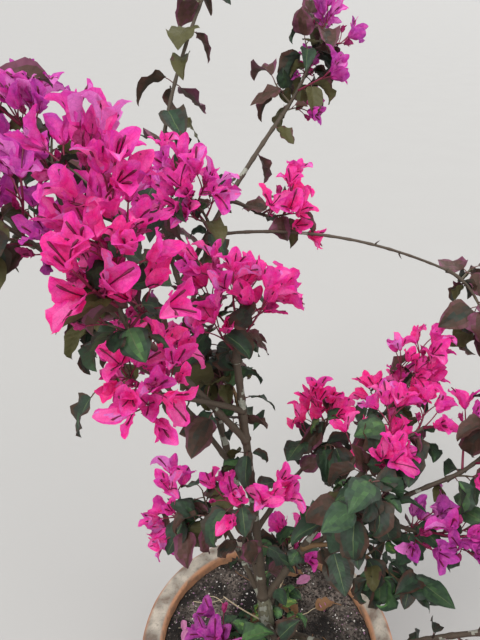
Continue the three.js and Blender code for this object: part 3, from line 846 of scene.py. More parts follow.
def grow_stem(grower, stem, growth):
    """A mass: its stem, the source's twigs, and leaves and short shoots at the nodes between them."""
    bough, draw = grower.bough, grower.draw
    is_bare = bough.name in BARE_MASSES
    grower.plant.stems.append((bough, stem, bough.radius * BOUGH_TAPER))
    for leaf in growth.leaves:
        axis = unit(leaf.along + UP * LEAF_DROOP)
        sizes = YOUNG_LEAF_SIZE if is_bare else LEAF_SIZE
        fine_leaf(grower, leaf.base, axis, SOURCE_LEAF_OPEN, 0, sizes, SOURCE_LEAF_TRIES)
    if growth.top.blooms:
        grow_bunch(grower, stem.point(1), stem.along(1), int(TOP_BUNCH * bough.spread))
    for i in range(1 if growth.top.blooms else TOP_LEAVES):
        turn = i * LEAF_TURN + draw() * LEAF_SCATTER
        place, opening = stem.point(1 - TOP_LEAF_STEP * i), TOP_LEAF_OPEN + TOP_LEAF_SPREAD * i
        fine_leaf(grower, place, stem.along(1), opening, turn, SHOOT_LEAF_SIZE)
    for curve, end in growth.twigs:
        grow_twig(grower, curve, end)
    for missed in growth.missed:
        grow_missed(grower, *missed)
    nodes = int(stem.length() / STEM_NODE_SPACING)
    sizes = STEM_LEAF_SIZE if bough.twigs else CANE_LEAF_SIZE
    for i in range(nodes):
        share = (i + 0.5) / nodes
        turn = i * GOLDEN_ANGLE + draw() * NODE_SCATTER
        point, along = stem.point(share), stem.along(share)
        for side in (0, OTHER_SIDE):
            if draw() < STEM_LEAF_SHARE and not is_bare:
                fine_leaf(grower, point, along, mix(*LEAF_OPEN, draw()), turn + side, sizes)
        if draw() < SHOOT_SHARE and bough.twigs:
            blooms = draw() < bough.bloom * SHOOT_BLOOM
            grow_shoot(grower, point, along, turn + 180, blooms)
        if draw() < STEM_THORN_SHARE:
            add_thorn(grower, point, along, turn + STEM_THORN_TURN, STEM_THORN_SIZE)


def grow_spurs(grower, curve):
    """Leaves and thorns at the nodes of a bough."""
    bough, draw = grower.bough, grower.draw
    nodes = int(curve.length() / NODE_SPACING)
    leafy = NODE_LEAVES.get(bough.name, LEAFY_NODES)
    for i in range(1, nodes):
        share = (i + 0.5 * draw()) / nodes
        turn = i * GOLDEN_ANGLE + draw() * NODE_SCATTER
        point, along = curve.point(share), curve.along(share)
        radius = bough.radius * mix(1, BOUGH_TAPER, share)
        for side in range(int(leafy + draw())):
            opening = mix(*LEAF_OPEN, draw())
            leaf_turn = turn + OTHER_SIDE * side
            base = point + opened_from(along, 90, leaf_turn) * radius * LEAF_SUNK
            fine_leaf(grower, base, along, opening, leaf_turn, BOUGH_LEAF_SIZE)
        if draw() < THORN_SHARE:
            thorn_turn = turn + BOUGH_THORN_TURN
            foot = point + opened_from(along, 90, thorn_turn) * radius * THORN_SUNK
            add_thorn(grower, foot, along, thorn_turn)


def grow_foot(grower, trunk):
    """Young shoots with fresh leaves round the foot of the trunk, and a few dry ones without."""
    draw = grower.draw
    for i in range(FOOT_SHOOTS):
        turn = i * GOLDEN_ANGLE + draw() * FOOT_SCATTER
        share = mix(*FOOT_PLACES, draw())
        start = trunk.point(share) + heading(turn) * trunk_radius(share) * LEAF_SUNK
        leaving = heading(turn, mix(*FOOT_PITCH, draw()))
        is_dry = i >= FOOT_SHOOTS - DRY_SHOOTS
        reach = mix(*FOOT_REACH, draw()) * (DRY_REACH if is_dry else 1)
        shoot = bent(start, start + leaving * reach + UP * FOOT_RISE, leaving)
        bark = "dry" if is_dry else "stalk"
        grower.plant.twigs.append(tapering(shoot, SHOOT_RADII, TWIG_STEPS, bark))
        for j, share in enumerate(() if is_dry else FOOT_LEAF_PLACES):
            opening = mix(*FOOT_LEAF_OPEN, draw())
            leaf_turn = j * LEAF_TURN + draw() * FOOT_LEAF_SCATTER
            fine_leaf(grower, shoot.point(share), shoot.along(share), opening, leaf_turn, FOOT_LEAF_SIZE)


def mass_leaves(bough):
    if bough.name in BRONZE_MASSES:
        return BRONZE_LEAVES
    return GREEN_LEAVES if bough.name in GREEN_MASSES else USUAL_LEAVES


def bough_leaves(bough):
    """The kinds of leaf on a bough itself, greener on the low ones."""
    is_low = bough.parent == "trunk" and bough.name not in BRONZE_MASSES
    return GREEN_LEAVES if is_low else mass_leaves(bough)


def mass_tones(bough, stem):
    """A mass's tones at its foot and its top, and how high those are."""
    foot = stem.start[2] - TONE_FOOT * bough.spread
    top = stem.end[2] + TONE_TOP * bough.spread
    return (*MASS_TONES.get(bough.name, USUAL_TONE), foot, top)


@cache
def grown_plant():
    """The whole plant, grown once."""
    plant = Plant()
    trunk = trunk_curve()
    curves = {"trunk": trunk}
    for bough in BOUGHS:
        curves[bough.name] = bough_curve(bough, curves[bough.parent])
        plant.limbs.append((bough, curves[bough.name]))
    stems = [stem_curve(bough, curve) for bough, curve in plant.limbs]
    room = Room(stems, [(trunk, TRUNK_RADIUS), *((curve, bough.radius) for bough, curve in plant.limbs)])
    seeds = [FIRST_SEED + index * SEED_STEP for index in range(len(BOUGHS))]
    for index, (bough, stem) in enumerate(zip(BOUGHS, stems)):
        growth = grow_mass(
            bough, stem, seeded_stream(seeds[index]), lambda points, own=index: room.keeps_clear(points, own)
        )
        draw = seeded_stream(seeds[index] + FINE_SEED)
        tones = mass_tones(bough, stem)
        grow_stem(Grower(plant, room, draw, mass_leaves(bough), bough, index, tones), stem, growth)
    for seed, (bough, curve) in zip(seeds, plant.limbs):
        draw = seeded_stream(seed + 2 * FINE_SEED)
        grow_spurs(Grower(plant, room, draw, bough_leaves(bough), bough), curve)
    grow_foot(Grower(plant, room, seeded_stream(FOOT_SEED), FOOT_LEAVES), trunk)
    return plant


def tube_faces(rings, sides):
    """Faces of a tube, closed at both ends."""
    faces = [tuple(reversed(range(sides)))]
    for ring in range(rings - 1):
        for side in range(sides):
            here, beside = ring * sides + side, ring * sides + (side + 1) % sides
            faces.append((here, beside, beside + sides, here + sides))
    faces.append(tuple(range((rings - 1) * sides, rings * sides)))
    return faces


def tube_rings(points, radii, sides):
    """Corners of the rings round many runs of points at once, turned as little as each run allows."""
    steps = units(np.diff(points, axis=1))
    along = units(np.concatenate([steps[:, :1], steps[:, 1:] + steps[:, :-1], steps[:, -1:]], axis=1))
    first = np.array([sideways(direction)[0] for direction in along[:, 0]])
    angles = all_round(sides)
    radii = np.broadcast_to(radii if radii.ndim == 3 else radii[..., None], (*points.shape[:2], sides))
    rings = []
    for ring in range(points.shape[1]):
        ahead = along[:, ring]
        first = units(first - ahead * (first * ahead).sum(-1, keepdims=True))
        second = np.cross(ahead, first)
        spokes = first[:, None] * np.cos(angles)[:, None] + second[:, None] * np.sin(angles)[:, None]
        rings.append(points[:, ring, None] + spokes * radii[:, ring, :, None])
    return np.stack(rings, axis=1).reshape(len(points), -1, 3)


class Parts:
    """The corners, faces, finishes and blade places of one joined piece, gathered form by form."""

    def __init__(self):
        self.corners = []
        self.loops = []
        self.sizes = []
        self.finishes = []
        self.places = []
        self.count = 0

    def add(self, corners, faces, finishes, places=None):
        """Copies of one form: corners by copy, its faces, and a finish for each face of each copy."""
        copies, points = corners.shape[:2]
        loops = np.concatenate([np.array(face) for face in faces])
        starts = self.count + points * np.arange(copies)
        self.corners.append(corners.reshape(-1, 3))
        self.loops.append((starts[:, None] + loops).ravel())
        self.sizes.append(np.tile([len(face) for face in faces], copies))
        self.finishes.append(np.broadcast_to(finishes, (copies, len(faces))).ravel())
        self.places.append(np.zeros((copies * points, 2)) if places is None else places.reshape(-1, 2))
        self.count += copies * points

    def add_form(self, corners, faces, finishes=0):
        """One form, with one finish or a finish for each face."""
        self.add(corners[None], faces, finishes)
        return self

    def add_tubes(self, tubes, sides, names):
        """Tubes that all have the same number of points, each with its bark's finish."""
        if not tubes:
            return
        points = np.array([tube.points for tube in tubes])
        radii = np.array([tube.radii for tube in tubes])
        finishes = np.array([names.index(tube.bark) for tube in tubes])[:, None]
        self.add(tube_rings(points, radii, sides), tube_faces(points.shape[1], sides), finishes)


BLADE_MAP = "Blade"


def make_piece(name, parts, materials, replaced=()):
    """One joined piece that rides on the plant's body, and stands for the solids it replaces."""
    loops = np.concatenate(parts.loops)
    sizes = np.concatenate(parts.sizes)
    mesh = bpy.data.meshes.new(name)
    for material in materials:
        mesh.materials.append(material)
    mesh.vertices.add(parts.count)
    mesh.vertices.foreach_set("co", (np.concatenate(parts.corners) * MM).astype(np.float32).ravel())
    mesh.loops.add(len(loops))
    mesh.loops.foreach_set("vertex_index", loops.astype(np.int32))
    mesh.polygons.add(len(sizes))
    mesh.polygons.foreach_set("loop_start", (np.cumsum(sizes) - sizes).astype(np.int32))
    mesh.polygons.foreach_set("material_index", np.concatenate(parts.finishes).astype(np.int32))
    mesh.polygons.foreach_set("use_smooth", np.ones(len(sizes), bool))
    places = np.concatenate(parts.places)[loops] * MM
    mesh.uv_layers.new(name=BLADE_MAP).uv.foreach_set("vector", places.astype(np.float32).ravel())
    mesh.update(calc_edges=True)
    mesh.validate()
    piece = bpy.data.objects.new(name, mesh)
    bpy.context.scene.collection.objects.link(piece)
    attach(piece, "root")
    if replaced:
        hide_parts(*replaced)
    return piece


# Thin blades of one kind, with an entry in each column: how each stands, its size, and how it is bent
Blades = namedtuple(
    "Blades", "base along facing length width bend hook fold cup wave crumple ragged phase twist"
)

# The least and the most of a kind's bends: angles in degrees, the rest as shares of size or width
BladeForm = namedtuple("BladeForm", "width bend hook fold cup wave crumple ragged twist")


def blade_row(form, stand, size, chances, phase, curl=1):
    """A blade's entry: its stand and size, and its bends from the form by a chance for each of them."""
    own = BladeForm(*(mix(*ends, chance) for ends, chance in zip(form, chances)))
    bend, hook = math.radians(own.bend) * curl, math.radians(own.hook) * curl
    surface = (math.radians(own.fold), own.cup, own.wave, own.crumple, own.ragged)
    turns = (phase * 2 * math.pi, math.radians(own.twist))
    return (*stand, size, size * own.width, bend, hook, *surface, *turns)


def gather_blades(rows):
    return Blades(*(np.array(column, dtype=float) for column in zip(*rows)))


def blade_spine(blades, shares):
    """Middle line, heading and upper side of each blade, at shares of its length that may be its own."""
    middles = (shares[..., 1:] + shares[..., :-1]) / 2
    steps = np.diff(shares, axis=-1)[..., None]

    def turn(at):
        angle = blades.bend[:, None] * at + blades.hook[:, None] * at**3
        return np.cos(angle)[..., None], np.sin(angle)[..., None]

    along, facing = blades.along[:, None], blades.facing[:, None]
    cosine, sine = turn(middles)
    strides = (along * cosine - facing * sine) * steps * blades.length[:, None, None]
    reached = np.concatenate([strides[:, :1] * 0, np.cumsum(strides, axis=1)], axis=1)
    spine = blades.base[:, None] + reached
    cosine, sine = turn(shares)
    return spine, along * cosine - facing * sine, facing * cosine + along * sine


def blade_corners(blades, outline, shares, sides):
    """Corners of each blade and their places on it: its foot, rows from side to side, and its tip."""
    spine, ahead, above = blade_spine(blades, shares)
    across = np.cross(above, ahead)
    twist = (blades.twist[:, None] * shares)[..., None]
    turned = across * np.cos(twist) + above * np.sin(twist)
    above = above * np.cos(twist) - across * np.sin(twist)
    length, width, _, _, fold, cup, wave, crumple, ragged, phase, _ = (
        column[:, None, None] for column in blades[3:]
    )
    run = shares[:, None]
    torn = ragged * waved(BLADE_TEARS, run, phase, np.sign(sides)) * sides**2
    half = width / 2 * outline(run) * (1 + torn)
    ripple = np.sin(2 * math.pi * BLADE_WAVES * run + phase + OTHER_EDGE * (sides > 0)) * sides**2
    creases = waved(BLADE_CREASES, run, sides, phase)
    out = sides * half * np.cos(fold)
    rise = np.abs(sides) * half * np.sin(fold) + cup * sides**2 * half
    rise = rise + (wave * ripple + crumple * creases) * length * outline(run)
    corners = spine[:, :, None] + turned[:, :, None] * out[..., None] + above[:, :, None] * rise[..., None]
    places = np.stack([np.abs(sides) * half, run * length + 0 * half], axis=-1)
    ends = [corners[:, 0, :1], corners[:, 1:-1].reshape(len(corners), -1, 3), corners[:, -1, :1]]
    end_places = [places[:, 0, :1], places[:, 1:-1].reshape(len(corners), -1, 2), places[:, -1, :1]]
    return np.concatenate(ends, axis=1), np.concatenate(end_places, axis=1)


def blade_faces(shares, sides):
    """Faces of a blade, with how far along it and how far from its rib the middle of each one is."""
    rows, line = len(shares) - 2, len(sides)
    tip = 1 + rows * line
    faces, along, beside = [], [], []
    for column in range(line - 1):
        for row in range(rows + 1):
            here = 1 + (row - 1) * line + column
            if row == 0:
                faces.append((0, 1 + column, 2 + column))
            elif row == rows:
                faces.append((here, tip, here + 1))
            else:
                faces.append((here, here + line, here + line + 1, here + 1))
            along.append((shares[row] + shares[row + 1]) / 2)
            beside.append((sides[column] + sides[column + 1]) / 2)
    return faces, np.array(along), np.array(beside)


def add_blades(parts, blades, shape, finish):
    """Blades whose every face has the finish for its place along the blade and beside its rib."""
    outline, rows, sides = shape
    shares = (1 - np.cos(math.pi * np.arange(rows + 2) / (rows + 1))) / 2
    corners, places = blade_corners(blades, outline, shares, sides)
    faces, along, beside = blade_faces(shares, sides)
    parts.add(corners, faces, finish(along, beside), places)


def pointed_outline(foot, tip):
    """A blade's half width along it, widest where the two powers balance, and drawn to its tip."""
    widest = foot / (foot + tip)
    most = widest**foot * (1 - widest) ** tip
    return lambda shares: shares**foot * (1 - shares).clip(0) ** tip / most


def revolved(profile, segments):
    """Corners and faces of an outline turned about the pot's axis, from one point on it to another."""
    angles = all_round(segments)
    radii, heights = profile[1:-1].T[..., None]
    rings = np.stack([radii * np.cos(angles), radii * np.sin(angles), heights + 0 * angles], axis=-1)
    corners = np.concatenate([[[0, 0, profile[0, 1]]], rings.reshape(-1, 3), [[0, 0, profile[-1, 1]]]])
    top = len(corners) - 1
    faces = []
    for here in range(segments):
        beside = (here + 1) % segments
        faces.append((0, 1 + beside, 1 + here))
        for ring in range(len(radii) - 1):
            low, high = 1 + ring * segments, 1 + (ring + 1) * segments
            faces.append((low + here, low + beside, high + beside, high + here))
        faces.append((top - segments + here, top - segments + beside, top))
    return corners, faces


# Waves in a blade's margins, and how far the other margin is ahead. Its tears run by place along it, its own
# phase and its side, and its creases by place along it, place across it and phase
BLADE_WAVES = 2.5
OTHER_EDGE = 1.9
BLADE_TEARS = ((1, 10, 7, 2), (0.7, 18, 11, -3))
BLADE_CREASES = ((1, 11, 5, 5), (0.6, 19, -7, 9))

# Shapes of blades: outline, rows, and where the corners stand from side to side. Forms: how they may bend
LEAF_RIB_TO = 0.03
LEAF_SHAPE = (
    pointed_outline(0.5, 0.98), 12,
    np.array([-1, -0.72, -0.38, -LEAF_RIB_TO, LEAF_RIB_TO, 0.38, 0.72, 1]),
)
LEAF_FORM = BladeForm(
    width=(0.64, 0.86), bend=(-12, 80), hook=(-15, 80), fold=(2, 60), cup=(-0.2, 0.1), wave=(0.03, 0.1),
    crumple=(0.012, 0.036), ragged=(0.01, 0.09), twist=(-45, 45),
)
BRACT_SHAPE = (pointed_outline(0.62, 0.7), 12, np.array([-1, -0.76, -0.5, -0.24, 0, 0.24, 0.5, 0.76, 1]))
BRACT_FORM = BladeForm(
    width=(0.46, 0.68), bend=(-16, 48), hook=(-25, 80), fold=(2, 28), cup=(-0.05, 0.3), wave=(0.02, 0.075),
    crumple=(0.014, 0.036), ragged=(0.04, 0.13), twist=(-36, 36),
)
FALLEN_FORM = BladeForm(
    width=(0.7, 0.7), bend=(10, 50), hook=(-60, 40), fold=(5, 50), cup=(0.1, 0.1), wave=(0.05, 0.05),
    crumple=(0.03, 0.03), ragged=(0.06, 0.06), twist=(-30, 30),
)
FALLEN_BRACT_WIDTH = (0.62, 0.62)


# How much a surface bends light: living skin, and mineral or bark
LIVING_IOR = 1.45
MINERAL_IOR = 1.5


def add_node(tree, kind, inputs=None, **settings):
    """A shader node with its settings. An input takes a value, or the output of another node."""
    node = tree.nodes.new(f"ShaderNode{kind}")
    for name, value in settings.items():
        setattr(node, name, value)
    for name, value in (inputs or {}).items():
        if isinstance(value, bpy.types.NodeSocket):
            tree.links.new(value, node.inputs[name])
        else:
            node.inputs[name].default_value = value
    return node


def new_material(name, make_surface):
    """A material whose surface is the shader that a function makes in its node tree."""
    material = bpy.data.materials.new(name)
    material.use_nodes = True
    tree = material.node_tree
    tree.nodes.clear()
    add_node(tree, "OutputMaterial", {"Surface": make_surface(tree)})
    return material


def opaque(colour):
    """A colour as a socket takes it, with its alpha. A socket's own colour stays as it is."""
    return colour if isinstance(colour, bpy.types.NodeSocket) else (*colour, 1.0)


def ranged(tree, value, start=0.0, end=1.0, least=0.0, most=1.0):
    """A value that runs from start to end, as one that runs from least to most."""
    return add_node(
        tree, "MapRange",
        {"Value": value, "From Min": start, "From Max": end, "To Min": least, "To Max": most},
    ).outputs["Result"]


def clouds(tree, place, size, detail, roughness=0.5):
    """Cloudy noise whose patches have a size in metres."""
    return add_node(
        tree, "TexNoise",
        {"Vector": place, "Scale": 1 / size, "Detail": detail, "Roughness": roughness},
    ).outputs["Fac"]


def cell_edges(tree, place, size):
    """How far a place is from the edges of cells that have a size in metres."""
    return add_node(
        tree, "TexVoronoi", {"Vector": place, "Scale": 1 / size}, feature="DISTANCE_TO_EDGE"
    ).outputs["Distance"]


def product(tree, first, second):
    """Two values multiplied."""
    return add_node(tree, "Math", {0: first, 1: second}, operation="MULTIPLY").outputs["Value"]


def relief(tree, height, form, under=None, invert=False):
    """Relief of a strength and a depth in metres, on top of another relief where one is given."""
    strength, depth = form
    inputs = {"Height": height, "Strength": strength, "Distance": depth}
    if under is not None:
        inputs["Normal"] = under
    return add_node(tree, "Bump", inputs, invert=invert).outputs["Normal"]


def mixed_colour(tree, share, low, high):
    """Two colours, or the colours of two sockets, mixed by a share."""
    return add_node(
        tree, "Mix", {0: share, 6: opaque(low), 7: opaque(high)}, data_type="RGBA", clamp_factor=True
    ).outputs[2]


def finished(tree, colour, roughness, sheen, normal, density=MINERAL_IOR):
    """An opaque surface with its colour, dullness, sheen and relief."""
    return add_node(
        tree, "BsdfPrincipled",
        {"Base Color": opaque(colour), "Roughness": roughness, "IOR": density, "Specular IOR Level": sheen,
         "Normal": normal},
    ).outputs["BSDF"]


def lit_through(tree, surface, share, glow):
    """A thin surface, with a share of the light that comes through it."""
    through = add_node(tree, "BsdfTranslucent", glow).outputs["BSDF"]
    return add_node(tree, "MixShader", {0: share, 1: surface, 2: through}).outputs["Shader"]


def own_place(tree):
    return add_node(tree, "TexCoord").outputs["Object"]


def blade_place(tree):
    """A place on a blade: how far it is from the rib, and how far along."""
    return add_node(tree, "UVMap", uv_map=BLADE_MAP).outputs["UV"]


def papery_bract(tint, colour):
    """Papery bract, grown thin and dry: soft light comes through it, and fine veins crinkle it."""

    def surface(tree):
        place = blade_place(tree)
        beside_vein = cell_edges(tree, place, BRACT_VEIN_GAP)
        crinkle = clouds(tree, place, BRACT_CRINKLE, 3.0)
        creased = relief(tree, crinkle, BRACT_CREASES)
        veined = relief(tree, ranged(tree, beside_vein, end=0.12), BRACT_VEINS, creased, invert=True)
        # Pale patches: partly fading, partly painted highlight
        fading = clouds(tree, own_place(tree), BRACT_FADE_AND_HIGHLIGHT_PATCH, 3.0)
        faded = ranged(tree, fading, 0.35, 0.75, most=BRACT_FADE_AND_HIGHLIGHT)
        paper_tone = mixed_colour(tree, faded, colour, linear(BRACT_FADE_AND_HIGHLIGHT_TINT))
        vein_tone = [channel * BRACT_VEIN_DEPTH for channel in colour]
        vein_share = ranged(tree, beside_vein, end=0.09, least=BRACT_VEINED, most=0.0)
        tone = mixed_colour(tree, vein_share, paper_tone, vein_tone)
        roughness = ranged(tree, crinkle, 0, 1, *BRACT_ROUGHNESS)
        paper = finished(tree, tone, roughness, BRACT_SHEEN, veined, LIVING_IOR)
        return lit_through(tree, paper, BRACT_GLOW, {"Color": tone, "Normal": veined})

    return new_material(f"papery bract, {tint}", surface)


def waxy_leaf(tint, colour):
    """Living leaf with a thin wax: a soft sheen over sunken side veins that slant to its margin."""

    def surface(tree):
        place = blade_place(tree)
        slanted = add_node(
            tree, "Mapping", {"Vector": place, "Rotation": (0, 0, math.radians(LEAF_VEIN_SLANT))}
        ).outputs["Vector"]
        veins = add_node(
            tree, "TexWave",
            {"Vector": slanted, "Scale": 0.05 / LEAF_VEIN_GAP * 2 * math.pi, "Distortion": 1.2,
             "Detail": 1.0, "Detail Scale": 60.0},
            bands_direction="X",
        ).outputs["Fac"]
        blister = clouds(tree, place, LEAF_BLISTER, 2.0)
        blistered = relief(tree, blister, LEAF_BLISTERS, relief(tree, veins, LEAF_VEINS))
        tone = mixed_colour(tree, blister, colour, [channel * LEAF_PALER for channel in colour])
        roughness = ranged(tree, blister, 0, 1, *LEAF_ROUGHNESS)
        skin = finished(tree, tone, roughness, LEAF_SHEEN, blistered, LIVING_IOR)
        return lit_through(tree, skin, LEAF_GLOW, {"Color": opaque(colour)})

    return new_material(f"waxy leaf, {tint}", surface)


def grown_bark(name, colour, grain, depth, roughness):
    """Bark as it grows: fine cracks and pores at the grain's size, without gloss."""

    def surface(tree):
        place = own_place(tree)
        pores = clouds(tree, place, grain, 4.0)
        cracks = ranged(tree, cell_edges(tree, place, BARK_PLATE * grain), end=0.2)
        cracked = relief(tree, cracks, (0.4, depth), relief(tree, pores, (0.5, depth)))
        varied = ranged(tree, pores, 0, 1, roughness - BARK_VARIED, roughness + BARK_VARIED)
        return finished(tree, colour, varied, BARK_SHEEN, cracked)

    return new_material(name, surface)


def fired_clay(settings):
    """Thrown and fired red clay, unglazed: lime has bled through it, and algae greys the top of its rim."""
    dark, clean, fresh, lime, algae = (
        getattr(settings, name) for name in ("clay_dark", "clay", "clay_fresh", "lime", "algae")
    )

    def surface(tree):
        place = own_place(tree)
        normal = add_node(tree, "NewGeometry").outputs["Normal"]
        flat = add_node(
            tree, "VectorMath", {0: place, 1: (1.0, 1.0, 0.0)}, operation="MULTIPLY"
        ).outputs["Vector"]
        facing_out = add_node(
            tree, "VectorMath", {0: normal, 1: flat}, operation="DOT_PRODUCT"
        ).outputs["Value"]
        upward = add_node(tree, "SeparateXYZ", {"Vector": normal}).outputs["Z"]
        blotch = clouds(tree, place, CLAY_BLOTCH, 6.0, 0.62)
        veil = clouds(tree, place, CLAY_VEIL, 5.0, 0.6)
        speck = clouds(tree, place, CLAY_SPECK, 4.0, 0.55)
        pore = clouds(tree, place, CLAY_PORE, 2.0, 0.55)

        def layer(share, low, high):
            return mixed_colour(tree, share, low, high)

        # Lime has bled out in a thin veil, thicker in some places
        clay = layer(ranged(tree, blotch, 0.36, 0.66), dark, clean)
        limed = layer(ranged(tree, veil, 0.42, 0.74, 0.04, 0.62), clay, lime)
        # Where it faces up, lime and algae have weathered it to grey
        crust = layer(ranged(tree, blotch, 0.38, 0.64), algae, lime)
        mottled = layer(ranged(tree, speck, 0.5, 0.72, most=0.55), crust, algae)
        patchy = ranged(tree, blotch, 0.3, 0.5, 0.72, 0.96)
        weathered = layer(product(tree, ranged(tree, upward, 0.5, 0.92), patchy), limed, mottled)
        # The inner wall keeps its fresh colour under some dirt
        inner = layer(ranged(tree, blotch, 0.48, 0.7, most=0.75), fresh, algae)
        colour = layer(ranged(tree, facing_out, -0.07, -0.14), weathered, inner)
        porous = relief(tree, pore, CLAY_PORES, relief(tree, speck, CLAY_SPECKS))
        return finished(tree, colour, ranged(tree, speck, 0.3, 0.7, *CLAY_ROUGHNESS), CLAY_SHEEN, porous)

    return new_material("fired red clay, limed", surface)


def crumbled(name, dark, light, crumb):
    """Crumbled mineral or loam: grains of two tones at their real size, and dull."""

    def surface(tree):
        place = own_place(tree)
        grains = add_node(tree, "TexVoronoi", {"Vector": place, "Scale": 1 / crumb}).outputs
        tone = add_node(tree, "SeparateColor", {"Color": grains["Color"]}).outputs["Red"]
        dried = ranged(tree, clouds(tree, place, DAMP_PATCH * crumb, 5.0), 0.4, 0.64)
        colour = mixed_colour(tree, product(tree, tone, dried), dark, light)
        rough = relief(tree, grains["Distance"], (0.8, crumb * 0.8), invert=True)
        return finished(tree, colour, CRUMB_ROUGHNESS, CRUMB_SHEEN, rough)

    return new_material(name, surface)


# Real sizes of the patterns, in metres
BRACT_VEIN_GAP = 0.0036
BRACT_CRINKLE = 0.009
BRACT_FADE_AND_HIGHLIGHT_PATCH = 0.008
LEAF_VEIN_GAP = 0.007
LEAF_BLISTER = 0.006
CLAY_BLOTCH = 0.024
CLAY_VEIL = 0.09
CLAY_SPECK = 0.006
CLAY_PORE = 0.0016
LOAM_CRUMB = 0.0035

# Strength and depth of the reliefs, in metres
BRACT_CREASES = (0.7, 0.0018)
BRACT_VEINS = (0.3, 0.0003)
LEAF_VEINS = (0.35, 0.0008)
LEAF_BLISTERS = (0.3, 0.0006)
CLAY_SPECKS = (0.4, 0.0012)
CLAY_PORES = (0.35, 0.0005)

# Each skin's grain and the depth of its relief in metres, and its roughness
OLD_GRAIN = (0.003, 0.0012, 0.85)
CANE_GRAIN = (0.0016, 0.0006, 0.7)
SKIN_GRAIN = (0.0012, 0.0002, 0.55)
LITTER_GRAIN = (0.0016, 0.0004, 0.8)
FLOWER_GRAIN = (0.0012, 0.0002, 0.5)

# How rough the other surfaces are, and how much the roughness of bark varies
BRACT_ROUGHNESS = (0.48, 0.68)
LEAF_ROUGHNESS = (0.38, 0.6)
CLAY_ROUGHNESS = (0.78, 0.95)
PAINT_ROUGHNESS = (0.75, 0.9)
CRUMB_ROUGHNESS = 0.92
BARK_VARIED = 0.1

# Bark's cells by its grain, patches of damp by the size of a crumb, and the slant of side veins in degrees
BARK_PLATE = 2.5
DAMP_PATCH = 100 / 7
LEAF_VEIN_SLANT = 48

# How far a bract pales in patches, and to what: partly fading, partly painted highlight. How far its veins
# are darker
BRACT_FADE_AND_HIGHLIGHT = 0.36
BRACT_FADE_AND_HIGHLIGHT_TINT = "#f08ccb"
BRACT_VEINED = 0.32
BRACT_VEIN_DEPTH = 0.55
LEAF_PALER = 1.7

# How much light comes through a bract and a leaf, and the sheen of each material
BRACT_GLOW = 0.46
LEAF_GLOW = 0.12
BRACT_SHEEN = 0.2
LEAF_SHEEN = 0.22
BARK_SHEEN = 0.3
CLAY_SHEEN = 0.25
CRUMB_SHEEN = 0.2

# The pot's sizes, from its solid and as in the source
RIM_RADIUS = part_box("pot")[1].x / MM
RIM_WIDTH = 34
RIM_INSIDE = RIM_RADIUS - RIM_WIDTH
RIM_DEPTH = 44
COLLAR_STEP = 14
FOOT_RADIUS = 138
FOOT_ROUND = 5
LIP_ROUND = 6
ROLL_OUTSIDE = 14
ROLL_INSIDE = 9
BELLY = 5
FLOOR_THICKNESS = 20
WALL_THICKNESS = 16
SOIL_FLAT_RADIUS = 60

# How finely the pot and the soil are made, and lumps in them: size, height and seed of each kind. How the
# pot's ridges sway, and its wall and its rim: depth, waves round it and where they start
POT_SEGMENTS = 144
WALL_RINGS = 74
POT_LUMPS = ((30, 0.7, 0.0), (6, 0.25, 7.0))
RIDGE_SWAY = 1.5
RIDGE_CLIMB = 60
POT_SWAY = ((0.8, 2, 0.6),)
RIM_SWAY = ((0.7, 3, 1.1),)
RIM_SWAY_DEPTH = 20
SOIL_SEGMENTS = 200
SOIL_RINGS = 62
SOIL_LUMPS = ((38, 3.4, 3.0), (11, 2.2, 11.0), (4.5, 1.5, 5.0))
SOIL_SUNK = 1.5

# The soil is banked against the wall, more on its right and less on its left
SOIL_BANK = 5
SOIL_SLANT = 4

# Chips in the rim: where round it, how wide in radians, and how deep. They stand near its outer edge
POT_CHIPS = [(214, 0.035, 2.4), (322, 0.05, 1.8), (65, 0.04, 2.2)]
CHIP_INSET = 4
CHIP_REACH = 7
CHIP_DEPTH = 12


class PotSettings(bpy.types.PropertyGroup):
    """The pot's finish."""

    clay: tinted("Clay", "Fired clay where it is clean", "#ad6a40")
    clay_dark: tinted("Damp clay", "Fired clay where it is damp", "#8f5638")
    clay_fresh: tinted("Inner clay", "Clay of the inner wall", "#b58462")
    lime: tinted("Lime", "Lime that has bled through", "#aaa294")
    algae: tinted("Algae", "Grey algae on the top of the rim", "#57564f")
    ridge_spacing: measured("Ridge spacing", "Height between two throwing ridges", 0.011)
    ridge_depth: measured("Ridge depth", "How far a throwing ridge stands out", 0.0007)


class SoilSettings(bpy.types.PropertyGroup):
    """The soil, its grit and what lies on it."""

    loam_dark: tinted("Damp loam", "Loam in its hollows", "#1f1c1a")
    loam: tinted("Loam", "Loam where it has dried", "#7a6f66")
    grit_count: counted("Grit", "Grains that lie on the loam", 3600, 6000)


class LitterSettings(bpy.types.PropertyGroup):
    """What has fallen on the soil."""

    stalks: counted("Dry stalks", "How many dry stalks", 48, 80)
    leaves: counted("Fallen leaves", "How many fallen leaves", 9, 40)
    bracts: counted("Fallen bracts", "How many fallen bracts", 9, 40)
    straw: tinted("Straw", "Bleached stalks", "#b3a487")
    brown: tinted("Brown", "Dry leaves and stalks", "#6e4f34")
    faded: tinted("Faded", "Fallen bracts", "#a86b8c")


class WoodSettings(bpy.types.PropertyGroup):
    """The bark of trunk, canes and twigs."""

    old_bark: tinted("Old bark", "Bark of the trunk", "#62604e")
    lichen: tinted("Lichen", "Pale crust on old bark", "#85877a")
    cane: tinted("Cane", "Bark of the dark canes", "#453c31")
    # Painted light: a lighter copy of the cane bark, for canes that stand in the sun
    tan: tinted("Tan cane", "Bark of the sunlit canes", "#6b543a")
    twig: tinted("Twig", "Bark of young twigs", "#4b4232")
    pedicel: tinted("Flower stalk", "Skin of flower stalks", "#6f2038")
    stalk: tinted("Leaf stalk", "Skin of leaf stalks", "#5b3a36")
    thorn: tinted("Thorn", "Thorns", "#33271f")
    dry: tinted("Dry shoot", "Bare dry shoots", "#a5967c")
    relief: measured("Relief", "Depth of the trunk's furrows", 0.0013)


